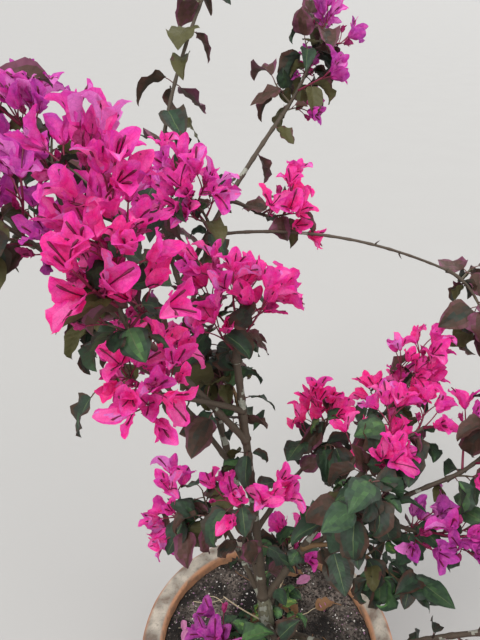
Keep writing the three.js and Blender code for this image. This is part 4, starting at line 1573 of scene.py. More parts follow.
class LeafSettings(bpy.types.PropertyGroup):
    """The leaves."""

    length: measured("Length", "Blade of the longest leaf", 0.057)
    lime: tinted("Lime", "Youngest leaf, and fading patches", "#7a8740")
    fresh: tinted("Fresh", "Young leaf", "#4a6c3c")
    green: tinted("Green", "Grown leaf in the sun", "#354b30")
    dark: tinted("Dark", "Grown leaf in the shade", "#29392b")
    dusk: tinted("Dusk", "Darkest leaf", "#272c26")
    umber: tinted("Umber", "Between green and bronze", "#382b22")
    bronze: tinted("Bronze", "Leaf that the sun has reddened", "#46302b")
    wine: tinted("Wine", "Purple margin", "#5c3344")
    olive: tinted("Olive", "Olive leaf", "#413f26")
    rib: tinted("Rib", "Middle rib", "#4a573a")


class BractSettings(bpy.types.PropertyGroup):
    """The bracts, and the slender flower on each."""

    length: measured("Length", "Longest bract", 0.038)
    rose: tinted("Rose", "Reddest bract", "#fb3a82")
    hot: tinted("Hot pink", "Bract at its best", "#f9288a")
    cerise: tinted("Cerise", "Cerise", "#ef2d97")
    magenta: tinted("Magenta", "Magenta", "#e634a3")
    orchid: tinted("Orchid", "Magenta to purple", "#d53aab")
    purple: tinted("Purple", "Purple", "#be3caa")
    violet: tinted("Violet", "Bluest bract", "#a03a96")
    # Painted shade: a dark bract colour for bracts that stand in the shade
    dusky: tinted("Dusky", "Darkest bract, in the shade", "#5f1c44")
    # Painted highlights: the pale pink and pale purple laid down the middle of some bracts
    blush: tinted("Blush", "Pale pink bract", "#f45caa")
    lilac: tinted("Lilac", "Pale purple bract", "#de76c6")
    deep: tinted("Deep", "Buds, and the bracts' feet", "#a3165f")
    flower: tinted("Flower", "The slender flower on a bract", "#5e1032")


class StageSettings(bpy.types.PropertyGroup):
    """The studio."""

    floor: tinted("Floor", "Pale floor", "#9a9895")
    key_strength: FloatProperty(name="Key light", description="Strength of the key light", default=3.0)
    sky: FloatProperty(name="Sky", description="Strength of the light all round", default=0.7)


def pot_profile():
    """The pot's outline, from the middle of its foot round the rim to the middle of its floor."""

    def corner(radius, height, size, start, end):
        angles = np.radians(np.linspace(start, end, 9))
        return np.stack([radius + size * np.cos(angles), height + size * np.sin(angles)], axis=1)

    def upright(radius, heights):
        return np.stack([np.full(len(heights), radius), heights], axis=1)

    under = POT_HEIGHT - RIM_DEPTH
    neck = RIM_RADIUS - COLLAR_STEP
    roll_out, roll_in = RIM_RADIUS - ROLL_OUTSIDE, RIM_INSIDE + ROLL_INSIDE
    share = np.linspace(0, 1, WALL_RINGS)[1:-1]
    wall = [mix(FOOT_RADIUS, neck, share) + BELLY * np.sin(math.pi * share), mix(FOOT_ROUND, under, share)]
    return np.concatenate([
        [[0, 0], [FOOT_RADIUS * 0.6, 0]],
        corner(FOOT_RADIUS - FOOT_ROUND, FOOT_ROUND, FOOT_ROUND, -90, 0),
        np.stack(wall, axis=1),
        [[neck, under]],
        corner(RIM_RADIUS - LIP_ROUND, under + LIP_ROUND, LIP_ROUND, -90, 0),
        upright(RIM_RADIUS, np.linspace(under + LIP_ROUND, POT_HEIGHT - ROLL_OUTSIDE, 9)[1:-1]),
        corner(roll_out, POT_HEIGHT - ROLL_OUTSIDE, ROLL_OUTSIDE, 0, 90),
        [[radius, POT_HEIGHT] for radius in np.linspace(roll_out, roll_in, 6)[1:-1]],
        corner(roll_in, POT_HEIGHT - ROLL_INSIDE, ROLL_INSIDE, 90, 180),
        upright(RIM_INSIDE, np.linspace(POT_HEIGHT - ROLL_INSIDE, under, 9)[1:]),
        [[FOOT_RADIUS - WALL_THICKNESS, FLOOR_THICKNESS], [0, FLOOR_THICKNESS]],
    ])


def noise_at(points, size, seed=0.0):
    """Smooth noise of a size in millimetres at each point, from about -1 to 1."""
    return np.array([noise.noise(Vector((x / size + seed, y / size, z / size))) for x, y, z in points])


def lumps_at(points, lumps, seed=0.0):
    """Noise of several sizes, each with its height and its own seed."""
    return sum(height * noise_at(points, size, seed + own) for size, height, own in lumps)


class BuildPot(bpy.types.Operator):
    """Throw the pot: its ridges, its rolled rim with small chips, and its limed clay"""

    bl_idname = "bougainvillea.build_pot"
    bl_label = "Pot"

    def execute(self, context):
        settings = context.scene.bougainvillea_pot
        corners, faces = revolved(pot_profile(), POT_SEGMENTS)
        radius = np.hypot(corners[:, 0], corners[:, 1])
        angle = np.arctan2(corners[:, 1], corners[:, 0])
        height = corners[:, 2]
        under = POT_HEIGHT - RIM_DEPTH
        is_wall = (radius > FOOT_RADIUS - 1) & (height > FOOT_ROUND) & (height < under - 4)
        is_rim = (height > under) & (radius > RIM_INSIDE - 1)
        turned = 2 * math.pi * height * MM / settings.ridge_spacing
        turned = turned + RIDGE_SWAY * np.sin(angle + height / RIDGE_CLIMB)
        out = is_wall * settings.ridge_depth / MM * np.sin(turned)
        out = out + waved(POT_SWAY, angle, 1) * (height > FOOT_ROUND)
        out = out + (is_wall | is_rim) * lumps_at(corners, POT_LUMPS)
        outward = np.stack([np.cos(angle), np.sin(angle), np.zeros(len(angle))], axis=1)
        corners = corners + outward * out[:, None]
        for turn, width, depth in POT_CHIPS:
            apart = (angle - math.radians(turn) + math.pi) % (2 * math.pi) - math.pi
            inward = (radius - RIM_RADIUS + CHIP_INSET) / CHIP_REACH
            chipped = np.exp(-(apart / width) ** 2) * np.exp(-(inward**2))
            corners[:, 2] -= chipped * depth * (height > POT_HEIGHT - CHIP_DEPTH)
        corners[:, 2] += is_rim * waved(RIM_SWAY, angle, 1) * (height > POT_HEIGHT - RIM_SWAY_DEPTH)
        parts = Parts().add_form(corners, faces)
        make_piece("pot_of_fired_clay", parts, [fired_clay(settings)], ["pot"])
        return {"FINISHED"}


def soil_height(x, y):
    """Height of the soil's top: lumpy, level in the middle and banked against the wall."""
    edge = RIM_INSIDE - CLEARANCE
    outward = ((np.hypot(x, y) - SOIL_FLAT_RADIUS) / (edge - SOIL_FLAT_RADIUS)).clip(0, 1)
    banked = (SOIL_BANK + SOIL_SLANT * x / edge) * outward
    points = np.stack([x, y, np.zeros_like(x)], axis=1)
    return SOIL_LEVEL + banked - SOIL_SUNK + lumps_at(points, SOIL_LUMPS)


class BuildSoil(bpy.types.Operator):
    """Fill the pot with crumbled loam"""

    bl_idname = "bougainvillea.build_soil"
    bl_label = "Soil"

    def execute(self, context):
        settings = context.scene.bougainvillea_soil
        edge = RIM_INSIDE - CLEARANCE
        low = FLOOR_THICKNESS + CLEARANCE
        rings = np.linspace(edge, 0, SOIL_RINGS + 1)
        profile = np.concatenate([
            [[0, low], [FOOT_RADIUS - WALL_THICKNESS - 2 * CLEARANCE, low], [edge, POT_HEIGHT - RIM_DEPTH]],
            np.stack([rings, np.full(len(rings), SOIL_LEVEL)], axis=1),
        ])
        corners, faces = revolved(profile, SOIL_SEGMENTS)
        is_top = corners[:, 2] == SOIL_LEVEL
        corners[is_top, 2] = soil_height(corners[is_top, 0], corners[is_top, 1])
        parts = Parts().add_form(corners, faces)
        loam = crumbled("potting loam, crumbled", settings.loam_dark, settings.loam, LOAM_CRUMB)
        make_piece("soil_of_loam", parts, [loam], ["soil"])
        return {"FINISHED"}


# Kinds of grain where there is grit and elsewhere, by weight, and each kind's two colours
GRIT_KINDS = {"loam crumb": 0.36, "grey grit": 0.24, "white grit": 0.2, "pink grit": 0.28}
CRUMB_KINDS = {"loam crumb": 0.85, "grey grit": 0.15}
GRIT_COLOURS = {
    "loam crumb": ("#2c2622", "#4e443b"), "grey grit": ("#6d675f", "#989086"),
    "white grit": ("#c9c3bb", "#eeeae4"), "pink grit": ("#8d6a80", "#bd93b0"),
}
GRIT_SEED = 90217
GRIT_PATCH = 60
GRIT_PATCH_EDGE = (-0.3, 0.3)
GRIT_RADIUS = (0.7, 2.4)
GRIT_INSET = 3
GRIT_OVER = 0.3
GRAIN_UNEVEN = (0.6, 1.2)
GRAIN_CORNERS = np.array([(1, 0, 0), (0, 1, 0), (-1, 0, 0), (0, -1, 0), (0, 0, 1), (0, 0, -1)], dtype=float)
GRAIN_FACES = [(0, 1, 4), (1, 2, 4), (2, 3, 4), (3, 0, 4), (1, 0, 5), (2, 1, 5), (3, 2, 5), (0, 3, 5)]


class BuildGrit(bpy.types.Operator):
    """Scatter crumbs, grit and pale grains over the loam"""

    bl_idname = "bougainvillea.build_grit"
    bl_label = "Grit"

    def execute(self, context):
        settings = context.scene.bougainvillea_soil
        draw = seeded_stream(GRIT_SEED)
        kinds = list(GRIT_KINDS)
        places, sizes, finishes = [], [], []
        for _ in range(settings.grit_count):
            radius = (RIM_INSIDE - GRIT_INSET) * math.sqrt(draw())
            angle = draw() * 2 * math.pi
            places.append((radius * math.cos(angle), radius * math.sin(angle)))
            is_sown = noise_at([(*places[-1], 0)], GRIT_PATCH)[0] > mix(*GRIT_PATCH_EDGE, draw())
            kind = pick(GRIT_KINDS if is_sown else CRUMB_KINDS, draw)
            size = mix(*GRIT_RADIUS, draw() ** 2)
            sizes.append([[size * mix(*GRAIN_UNEVEN, draw())] * 3 for _ in GRAIN_CORNERS])
            finishes.append(kinds.index(kind))
        places = np.array(places)
        heights = soil_height(places[:, 0], places[:, 1])
        middles = np.concatenate([places, heights[:, None] + GRIT_OVER], axis=1)
        corners = middles[:, None] + GRAIN_CORNERS * np.array(sizes)
        parts = Parts()
        parts.add(corners, GRAIN_FACES, np.array(finishes)[:, None])
        tones = {kind: [linear(colour) for colour in GRIT_COLOURS[kind]] for kind in kinds}
        materials = [crumbled(f"{kind}, broken", *tones[kind], LOAM_CRUMB / 3) for kind in kinds]
        make_piece("grit_on_soil", parts, materials)
        return {"FINISHED"}


# What lies on the loam: how near the trunk and the wall, how long, and how far over it
LITTER_SEED = 60413
LITTER_TINTS = ("straw", "brown", "faded")
LITTER_NEAREST = 26
LITTER_INSET = 8
STALK_LENGTH = (18, 70)
STALK_POINTS = 7
STALK_BOW = 0.3
STALK_OVER = (0.8, 3)
STALK_ENDS = (0.9, 0.5)
STALK_THICKNESS = (0.7, 1.2)
STRAW_SHARE = 0.7
FALLEN_LEAF = 50
FALLEN_BRACT = 34
FALLEN_SIZE = (0.6, 1)
FALLEN_OVER = 5
FALLEN_RISE = (0, 0.25)


def lying(length, draw):
    """A place on the loam and a level heading, with room for a length."""
    radius = mix(LITTER_NEAREST, RIM_INSIDE - LITTER_INSET - length / 2, math.sqrt(draw()))
    middle = heading(draw() * 360) * radius
    along = heading(draw() * 360)
    return middle - along * length / 2, along


def dry_stalk(draw):
    """A stalk that lies on the loam, a little bowed."""
    length = mix(*STALK_LENGTH, draw() ** 2)
    start, along = lying(length, draw)
    side = np.cross(UP, along) * (draw() - 0.5) * length * STALK_BOW
    shares = np.linspace(0, 1, STALK_POINTS)[:, None]
    points = start + along * length * shares + side * np.sin(math.pi * shares)
    points[:, 2] = soil_height(points[:, 0], points[:, 1]) + mix(*STALK_OVER, draw())
    bark = "straw" if draw() < STRAW_SHARE else "brown"
    return Tube(points, np.linspace(*STALK_ENDS, STALK_POINTS) * mix(*STALK_THICKNESS, draw()), bark)


def fallen_blade(form, longest, draw):
    """A dry leaf or a faded bract that lies on the loam."""
    size = longest * mix(*FALLEN_SIZE, draw())
    base, along = lying(size, draw)
    middle = base + along * size / 2
    base[2] = soil_height(middle[:1], middle[1:2])[0] + FALLEN_OVER
    rise, bend, hook, fold, phase, twist = (draw() for _ in range(6))
    stand = (base, unit(along + UP * mix(*FALLEN_RISE, rise)), UP)
    return blade_row(form, stand, size, (0, bend, hook, fold, 0, 0, 0, 0, twist), phase)


class BuildLitter(bpy.types.Operator):
    """Drop dry stalks, dry leaves and faded bracts on the loam"""

    bl_idname = "bougainvillea.build_litter"
    bl_label = "Litter"

    def execute(self, context):
        settings = context.scene.bougainvillea_litter
        draw = seeded_stream(LITTER_SEED)
        parts = Parts()
        parts.add_tubes([dry_stalk(draw) for _ in range(settings.stalks)], STALK_SIDES, LITTER_TINTS)
        bract_form = FALLEN_FORM._replace(width=FALLEN_BRACT_WIDTH)
        for tint, count, longest, form, shape in (
            ("brown", settings.leaves, FALLEN_LEAF, FALLEN_FORM, LEAF_SHAPE),
            ("faded", settings.bracts, FALLEN_BRACT, bract_form, BRACT_SHAPE),
        ):
            fallen = [fallen_blade(form, longest, draw) for _ in range(count)]
            finish = LITTER_TINTS.index(tint)
            if fallen:
                add_blades(parts, gather_blades(fallen), shape, lambda *_, own=finish: own)
        materials = [
            grown_bark(f"dry litter, {tint}", getattr(settings, tint), *LITTER_GRAIN)
            for tint in LITTER_TINTS
        ]
        make_piece("litter_on_soil", parts, materials)
        return {"FINISHED"}


WOOD_BARKS = ("old_bark", "lichen", "cane", "tan")
TWIG_BARKS = ("cane", "tan", "twig", "pedicel", "stalk", "thorn", "dry")
# Boughs whose bark is the lighter copy of cane bark: painted light
PAINTED_SUNLIT_BOUGHS = ("right_tail", "centre_leafy")
THIN_BOUGHS = {"arching_cane": 0.7}
RING_SPACING = 4
TRUNK_SIDES = 28
TRUNK_SUNK = 5
CANE_SIDES = 12
STEM_SIDES = 10
STEM_TIP = 0.54
STEM_SUNK = 2
STEM_SPACING = 24
TWIG_SIDES = 6
STALK_SIDES = 5

# The trunk's lobes where it flares, and its furrows by angle, by height and from a start. How a bough widens
# at its foot, and how uneven trunk and boughs are
LOBES = 5
LOBE_DEPTH = 0.3
TRUNK_FURROWS = ((1, 7, 1 / 22, 0), (0.7, 11, -1 / 15, 1))
FOOT_SWELL = 0.4
FOOT_SWELL_LENGTH = 9
CANE_OVAL = 0.16
BARK_LUMPS = ((7, 1, 0.0), (2.6, 0.6, 0.0))
TRUNK_ROUGH = 0.75
CANE_ROUGH = 0.22

# Lichen: the size of its patches, and where it starts, on the trunk, on low boughs and on the rest
TRUNK_LICHEN = (11, 0.22)
LOW_LICHEN = (16, 0.3)
HIGH_LICHEN = (16, 0.5)


def cane_bark(bough):
    return "tan" if bough.name in PAINTED_SUNLIT_BOUGHS else "cane"


def bark_material(settings, bark):
    """The bark of that name, in its settings' colour."""
    colour = getattr(settings, bark)
    if bark in ("old_bark", "lichen"):
        return grown_bark(f"old bark, {bark.replace('_', ' ')}", colour, *OLD_GRAIN)
    if bark in ("cane", "tan"):
        return grown_bark(f"cane bark, {bark}", colour, *CANE_GRAIN)
    return grown_bark(f"young skin, {bark}", colour, *SKIN_GRAIN)


def trunk_girth(shares, run, angles, depth):
    """The trunk's radii by place along it and angle: lobed where it flares, and furrowed."""
    lobes = LOBE_DEPTH * np.exp(-FLARE_RATE / 2 * shares) * np.cos(LOBES * angles + 0.8 * shares)
    return trunk_radius(shares) * (1 + lobes) + depth * waved(TRUNK_FURROWS, angles, run, 1)


def cane_girth(radii, run, angles, spacing, seed):
    """A cane's radii by place along it and angle: swollen at its nodes and its foot, and not quite round."""
    offset = (run + spacing / 2) % spacing - spacing / 2
    swollen = radii * (1 + NODE_SWELL * np.exp(-((offset / NODE_WIDTH) ** 2)))
    swollen = swollen * (1 + FOOT_SWELL * np.exp(-run / FOOT_SWELL_LENGTH))
    return swollen + CANE_OVAL * np.sin(3 * angles + run / 30 + seed)


def limb_form(curve, girth, sides, rough, seed):
    """A limb's corners and faces, with its bark's unevenness. Its girth is a function of place and angle."""
    steps = max(6, int(curve.length() / RING_SPACING))
    shares = np.linspace(0, 1, steps + 1)[:, None]
    points = np.array([curve.point(share) for share in shares])
    radii = girth(shares, shares * curve.length(), all_round(sides))
    corners = tube_rings(points[None], radii[None], sides)[0]
    outward = units(corners - np.repeat(points, sides, axis=0))
    corners = corners + outward * (rough * lumps_at(corners, BARK_LUMPS, seed))[:, None]
    return corners, tube_faces(steps + 1, sides)


def cane_form(curve, root, taper, spacing, sides, seed):
    """A bough or a stem that tapers from its root, with nodes at a spacing."""

    def girth(shares, run, angles):
        return cane_girth(root * mix(1, taper, shares), run, angles, spacing, seed)

    return limb_form(curve, girth, sides, CANE_ROUGH, seed)


def with_lichen(corners, faces, bark, lichen, seed):
    """A finish for each face of a limb: its bark, or lichen in patches."""
    size, start = lichen
    crust = noise_at(face_middles(corners, faces), size, seed) > start
    return np.where(crust, WOOD_BARKS.index("lichen"), WOOD_BARKS.index(bark))


def face_middles(corners, faces):
    return np.array([corners[list(face)].mean(axis=0) for face in faces])


class BuildWood(bpy.types.Operator):
    """Grow the trunk and the boughs with their bark's relief"""

    bl_idname = "bougainvillea.build_wood"
    bl_label = "Trunk and boughs"

    def execute(self, context):
        settings = context.scene.bougainvillea_wood
        plant = grown_plant()
        parts = Parts()
        trunk = trunk_curve()
        foot = Curve(trunk.start - UP * TRUNK_SUNK, trunk.middle, trunk.end)

        def girth(*place):
            return trunk_girth(*place, settings.relief / MM)

        corners, faces = limb_form(foot, girth, TRUNK_SIDES, TRUNK_ROUGH, 2.0)
        parts.add_form(corners, faces, with_lichen(corners, faces, "old_bark", TRUNK_LICHEN, 31.0))
        for index, (bough, curve) in enumerate(plant.limbs):
            radius = bough.radius * THIN_BOUGHS.get(bough.name, 1)
            spacing = curve.length() / max(1, int(curve.length() / NODE_SPACING))
            seed = 3.7 * index
            corners, faces = cane_form(curve, radius, BOUGH_TAPER, spacing, CANE_SIDES, seed)
            lichen = LOW_LICHEN if bough.parent == "trunk" else HIGH_LICHEN
            parts.add_form(corners, faces, with_lichen(corners, faces, cane_bark(bough), lichen, seed))
        materials = [bark_material(settings, bark) for bark in WOOD_BARKS]
        nodes = ["trunk", *(f"bough_{bough.name}" for bough in BOUGHS)]
        make_piece("trunk_and_boughs", parts, materials, nodes)
        return {"FINISHED"}


class BuildTwigs(bpy.types.Operator):
    """Grow the stems, twigs, stalks and thorns of every mass"""

    bl_idname = "bougainvillea.build_twigs"
    bl_label = "Twigs and thorns"

    def execute(self, context):
        settings = context.scene.bougainvillea_wood
        plant = grown_plant()
        parts = Parts()
        for index, (bough, stem, root) in enumerate(plant.stems):
            longer = Curve(stem.start - stem.along(0) * STEM_SUNK, stem.middle, stem.end)
            seed = 1.3 * index
            corners, faces = cane_form(longer, root, STEM_TIP, STEM_SPACING, STEM_SIDES, seed)
            parts.add_form(corners, faces, TWIG_BARKS.index(cane_bark(bough)))
        parts.add_tubes(plant.twigs, TWIG_SIDES, TWIG_BARKS)
        parts.add_tubes(plant.stalks, STALK_SIDES, TWIG_BARKS)
        parts.add_tubes(plant.thorns, STALK_SIDES, TWIG_BARKS)
        materials = [bark_material(settings, bark) for bark in TWIG_BARKS]
        nodes = mass_nodes("bloom_mass_") + mass_nodes("leaf_mass_")
        make_piece("twigs_and_thorns", parts, materials, nodes)
        return {"FINISHED"}


def mass_nodes(start):
    """The solids whose names start so, in order."""
    return sorted(name for name in frame["nodes"] if name.startswith(start))


class BuildLeaves(bpy.types.Operator):
    """Open the leaves: drooping, folded along their rib, with purple margins"""

    bl_idname = "bougainvillea.build_leaves"
    bl_label = "Leaves"

    def execute(self, context):
        settings = context.scene.bougainvillea_leaves
        leaves = grown_plant().leaves
        blades = leaf_blades(leaves, settings.length / MM)
        parts = Parts()
        add_blades(parts, blades, LEAF_SHAPE, leaf_finish(leaves))
        tints = ladder(settings, LEAF_LADDER, LEAF_EXTRAS)
        materials = [waxy_leaf(name, colour) for name, colour in tints.items()]
        make_piece("leaves_on_twigs", parts, materials, mass_nodes("leaf_mass_"))
        return {"FINISHED"}


def leaf_blades(leaves, length):
    """Every leaf's blade: curled and folded along its rib, more or less, with a wavy margin."""
    rows = []
    for leaf in leaves:
        curl, crease, wave, phase, twist = leaf.chances
        chances = (wave, curl**1.3, crease, crease**1.5, twist, wave, phase, curl, twist)
        rows.append(blade_row(LEAF_FORM, leaf[:3], length * leaf.size, chances, phase))
    return gather_blades(rows)


def leaf_finish(leaves):
    """A function that gives each leaf's faces their tints: greener by its rib, browner to its margins."""
    kinds = np.array([leaf.kind for leaf in leaves])[:, None]
    low, high = np.array([LEAF_KINDS[leaf.kind] for leaf in leaves]).T[..., None]
    first, second, third, fourth, fifth = np.array([leaf.chances for leaf in leaves]).T[..., None]
    tones = mix(low, high, fifth)
    is_ribbed = np.isin(kinds, RIBBED_KINDS) & (fourth < RIBBED_SHARE)
    olive, rib = (ladder_length(LEAF_LADDER) + i for i in range(2))

    def finish(along, beside):
        tone = tones + mix(*LEAF_EDGE_TONE, third) * (beside**2 - LEAF_EDGE_FROM)
        tone = tone + LEAF_MOTTLE * waved(LEAF_PATCHES, along, beside, first, second)
        tints = ladder_steps(tone, LEAF_LADDER)
        is_olive = (kinds == "olive") & (tone > OLIVE_TONES[0]) & (tone < OLIVE_TONES[1])
        return np.where(is_ribbed & (np.abs(beside) < LEAF_RIB_TO), rib, np.where(is_olive, olive, tints))

    return finish


# A bract's opening from its stalk and a bud's, in degrees, and the size that tells them apart
BRACT_OPENING = (6, 36)
BRACT_SCATTER = 44
BRACT_TILT = 22
BRACT_SIZE = (0.82, 1.1)
BRACT_OUT = 1.2
OPEN_SIZE = 0.6
BUD_OPENING = 0.35
BUD_CURL = 0.3

# Each bract carries a slender closed flower: its places along the bract, its radii, and how it lifts off
FLOWER_PLACES = np.array([0.0, 0.04, 0.34, 0.64, 0.88, 1.0])
FLOWER_REACH = (0.5, 0.85)
FLOWER_RADII = np.array([0.55, 0.7, 0.9, 1.5, 1.0])
FLOWER_RISE = np.array([0.4, 1.1, 2.0, 3.4, 4.4])
FLOWER_RISE_SCALE = (0.5, 1.7)
FLOWER_LEAN = 9
FLOWER_SIDES = 4

# Bracts whose masses stand above this height are one piece, and the rest another
HIGH_MASS = 800


def bract_blades(flowers, length):
    """Every flower's three bracts, which open from its stalk like a cup whose tips turn out."""
    rows = []
    for flower in flowers:
        level, steep = sideways(flower.axis)
        is_open = flower.size > OPEN_SIZE
        opening = math.radians(mix(*BRACT_OPENING, flower.chances[0]) * (1 if is_open else BUD_OPENING))
        for i in range(BRACTS):
            chance = flower.chances[1 + i]
            other = flower.chances[(4 + i) % 8]
            angle = math.radians(flower.turn + BRACT_TURN * i + BRACT_SCATTER * (chance - 0.5))
            out = level * math.cos(angle) + steep * math.sin(angle)
            tilt = opening + math.radians(BRACT_TILT) * (other - 0.5)
            ahead = flower.axis * math.cos(tilt) + out * math.sin(tilt)
            inner = flower.axis * math.sin(tilt) - out * math.cos(tilt)
            stand = (flower.base + out * BRACT_OUT, ahead, inner)
            size = length * flower.size * mix(*BRACT_SIZE, other)
            chances = (chance, chance, other, other, chance, other, chance, other, other)
            rows.append(blade_row(BRACT_FORM, stand, size, chances, chance, 1 if is_open else BUD_CURL))
    return gather_blades(rows)


def bract_finish(flowers):
    """A function that gives each bract's faces their tints, which change along it and to its margins."""
    tones = np.repeat([flower.tone for flower in flowers], BRACTS)[:, None]
    is_bud = np.repeat([flower.size < OPEN_SIZE for flower in flowers], BRACTS)[:, None]
    slope, margin, spot, light = (
        np.array([flower.chances[(1 + i + j) % 8] for flower in flowers for i in range(BRACTS)])[:, None]
        for j in range(4)
    )
    is_painted_shade = tones > VIOLET_TONE
    blush, lilac, deep = (ladder_length(BRACT_LADDER) + i for i in range(3))

    def finish(along, beside):
        tone = tones + mix(*BRACT_SLOPE, slope) * (along - 0.5) + mix(*BRACT_EDGE_TONE, margin) * beside**2
        tone = tone + spot - 0.5 + BRACT_MOTTLE * waved(BRACT_PATCHES, along, beside, spot, light)
        # Only bracts of painted shade go past violet, to the darkest rung
        tone = np.where(is_painted_shade, tone, np.minimum(tone, VIOLET_TONE))
        tints = ladder_steps(tone, BRACT_LADDER)
        # Painted highlight: a pale patch down the middle of some bracts, pink on the redder ones and lilac
        # on the rest
        in_painted_highlight = (np.abs(beside) < mix(*PAINTED_HIGHLIGHT_WIDTH, spot)) & (along > PAINTED_HIGHLIGHT_START)
        pale = np.where(tone < CERISE_TONE, blush, lilac)
        tints = np.where((light > PAINTED_HIGHLIGHT_CHANCE) & in_painted_highlight & ~is_painted_shade, pale, tints)
        return np.where(is_bud | (along < DEEP_FOOT), deep, tints)

    return finish


def slender_tubes(blades, length):
    """The closed flower on each bract: a slender tube that lifts off it."""
    chance = (blades.phase / (2 * math.pi))[:, None]
    size = (blades.length / length)[:, None]
    spine, ahead, above = blade_spine(blades, FLOWER_PLACES * mix(*FLOWER_REACH, chance))
    across = np.cross(above, ahead)[:, 1:]
    lean = (blades.twist[:, None] * FLOWER_LEAN * FLOWER_PLACES[1:] ** 2)[..., None]
    rise = (FLOWER_RISE * size * mix(*FLOWER_RISE_SCALE, chance))[..., None]
    line = spine[:, 1:] + above[:, 1:] * rise + across * lean
    parts = Parts()
    rings = tube_rings(line, FLOWER_RADII * size, FLOWER_SIDES)
    parts.add(rings, tube_faces(len(FLOWER_RADII), FLOWER_SIDES), 0)
    return parts


class BuildBracts(bpy.types.Operator):
    """Open the papery bracts, three to a flower, and lay a slender flower on each"""

    bl_idname = "bougainvillea.build_bracts"
    bl_label = "Bracts and flowers"

    def execute(self, context):
        settings = context.scene.bougainvillea_bracts
        length = settings.length / MM
        plant = grown_plant()
        tints = ladder(settings, BRACT_LADDER, BRACT_EXTRAS)
        materials = [papery_bract(name, colour) for name, colour in tints.items()]
        is_high = [stem.start[2] > HIGH_MASS for _, stem, _ in plant.stems]
        for level, wanted in (("high", True), ("low", False)):
            flowers = [flower for flower in plant.flowers if is_high[flower.mass] == wanted]
            blades = bract_blades(flowers, length)
            parts = Parts()
            add_blades(parts, blades, BRACT_SHAPE, bract_finish(flowers))
            names = [bough.name for (bough, _, _), high in zip(plant.stems, is_high) if high == wanted]
            nodes = [f"bloom_mass_{name}" for name in names if f"bloom_mass_{name}" in frame["nodes"]]
            make_piece(f"papery_bracts_{level}", parts, materials, nodes)
        skin = grown_bark("flower skin, closed", settings.flower, *FLOWER_GRAIN)
        tubes = slender_tubes(bract_blades(plant.flowers, length), length)
        make_piece("slender_flowers", tubes, [skin])
        return {"FINISHED"}


# The floor is a wide disc, in metres
FLOOR_RADIUS = 80.0
FLOOR_SIDES = 96
SKY_TINT = "#eef1f5"

# The photograph's view: a 32 mm lens on a 36 mm long side, 30 degrees below level, looking along +Y
CAMERA_PLACE = (-0.044, -0.539, 1.222)
CAMERA_PITCH = -30
CAMERA_LENS = 32.34
CAMERA_SENSOR = 36

# Soft lights from far off: where each stands by compass and height, its share of the key's strength, and how
# wide it looks, all in degrees but the share
LIGHTS = {
    "key": (-125, 52, 1.0, 30),
    "back": (62, 46, 0.55, 40),
    "fill": (-50, 26, 0.6, 60),
}


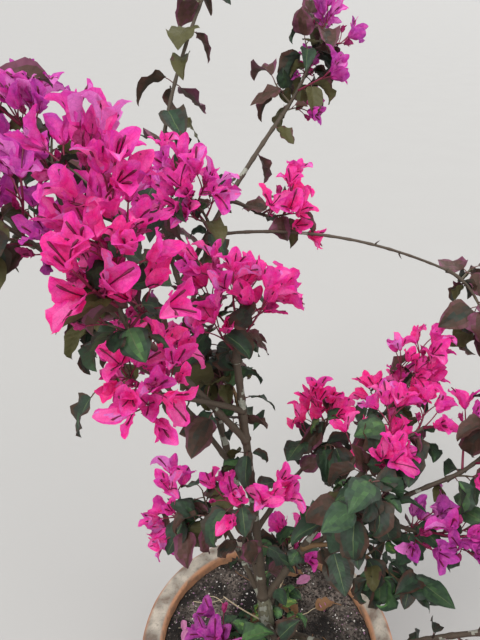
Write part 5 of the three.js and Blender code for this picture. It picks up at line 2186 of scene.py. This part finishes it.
class BuildStage(bpy.types.Operator):
    """Set the studio: a wide pale floor, soft lights and the camera"""

    bl_idname = "bougainvillea.build_stage"
    bl_label = "Studio"

    def execute(self, context):
        settings = context.scene.bougainvillea_stage
        corners = [heading(360 * i / FLOOR_SIDES) * FLOOR_RADIUS for i in range(FLOOR_SIDES)]
        mesh = bpy.data.meshes.new("studio_floor")
        mesh.from_pydata(corners, [], [tuple(range(FLOOR_SIDES))])
        mesh.materials.append(painted_floor(settings.floor))
        floor = bpy.data.objects.new("studio_floor", mesh)
        context.scene.collection.objects.link(floor)

        for name, (azimuth, height, share, width) in LIGHTS.items():
            light = bpy.data.lights.new(name, "SUN")
            light.energy = settings.key_strength * share
            light.angle = math.radians(width)
            lamp = bpy.data.objects.new(name, light)
            lamp.rotation_euler = Vector(heading(azimuth, height)).to_track_quat("Z", "Y").to_euler()
            context.scene.collection.objects.link(lamp)

        world = bpy.data.worlds.new("soft_sky")
        world.use_nodes = True
        background = world.node_tree.nodes["Background"]
        background.inputs["Color"].default_value = opaque(linear(SKY_TINT))
        background.inputs["Strength"].default_value = settings.sky
        context.scene.world = world
        context.scene.view_settings.view_transform = "Standard"

        camera = bpy.data.objects.new("camera", bpy.data.cameras.new("camera"))
        camera.data.sensor_width = CAMERA_SENSOR
        camera.data.lens = CAMERA_LENS
        camera.location = CAMERA_PLACE
        camera.rotation_euler = (math.radians(90 + CAMERA_PITCH), 0, 0)
        context.scene.collection.objects.link(camera)
        context.scene.camera = camera
        return {"FINISHED"}


def painted_floor(colour):
    """Studio floor in pale matt paint, faintly uneven."""

    def surface(tree):
        uneven = clouds(tree, own_place(tree), 1 / 3, 2.0)
        roughness = ranged(tree, uneven, 0, 1, *PAINT_ROUGHNESS)
        return add_node(
            tree, "BsdfPrincipled", {"Base Color": opaque(colour), "Roughness": roughness}
        ).outputs["BSDF"]

    return new_material("studio paint, matt", surface)


GROUPS = {
    "bougainvillea_pot": PotSettings,
    "bougainvillea_soil": SoilSettings,
    "bougainvillea_litter": LitterSettings,
    "bougainvillea_wood": WoodSettings,
    "bougainvillea_leaves": LeafSettings,
    "bougainvillea_bracts": BractSettings,
    "bougainvillea_stage": StageSettings,
}
STEPS = (
    BuildPot, BuildSoil, BuildGrit, BuildLitter, BuildWood, BuildTwigs, BuildLeaves, BuildBracts, BuildStage,
)


class BougainvilleaPanel(bpy.types.Panel):
    """The steps, and the sizes and colours of each"""

    bl_idname = "VIEW3D_PT_bougainvillea"
    bl_label = "Bougainvillea"
    bl_space_type = "VIEW_3D"
    bl_region_type = "UI"
    bl_category = "Bougainvillea"

    def draw(self, context):
        for step in STEPS:
            self.layout.operator(step.bl_idname)
        for name, group in GROUPS.items():
            box = self.layout.box()
            for field in group.__annotations__:
                box.prop(getattr(context.scene, name), field)


def register():
    for kind in (*GROUPS.values(), *STEPS, BougainvilleaPanel):
        bpy.utils.register_class(kind)
    for name, group in GROUPS.items():
        setattr(bpy.types.Scene, name, PointerProperty(type=group))


def unregister():
    for name in GROUPS:
        delattr(bpy.types.Scene, name)
    for kind in reversed((*GROUPS.values(), *STEPS, BougainvilleaPanel)):
        bpy.utils.unregister_class(kind)


def main():
    register()
    for step in STEPS:
        category, name = step.bl_idname.split(".")
        getattr(getattr(bpy.ops, category), name)()


if __name__ == "__main__":
    main()
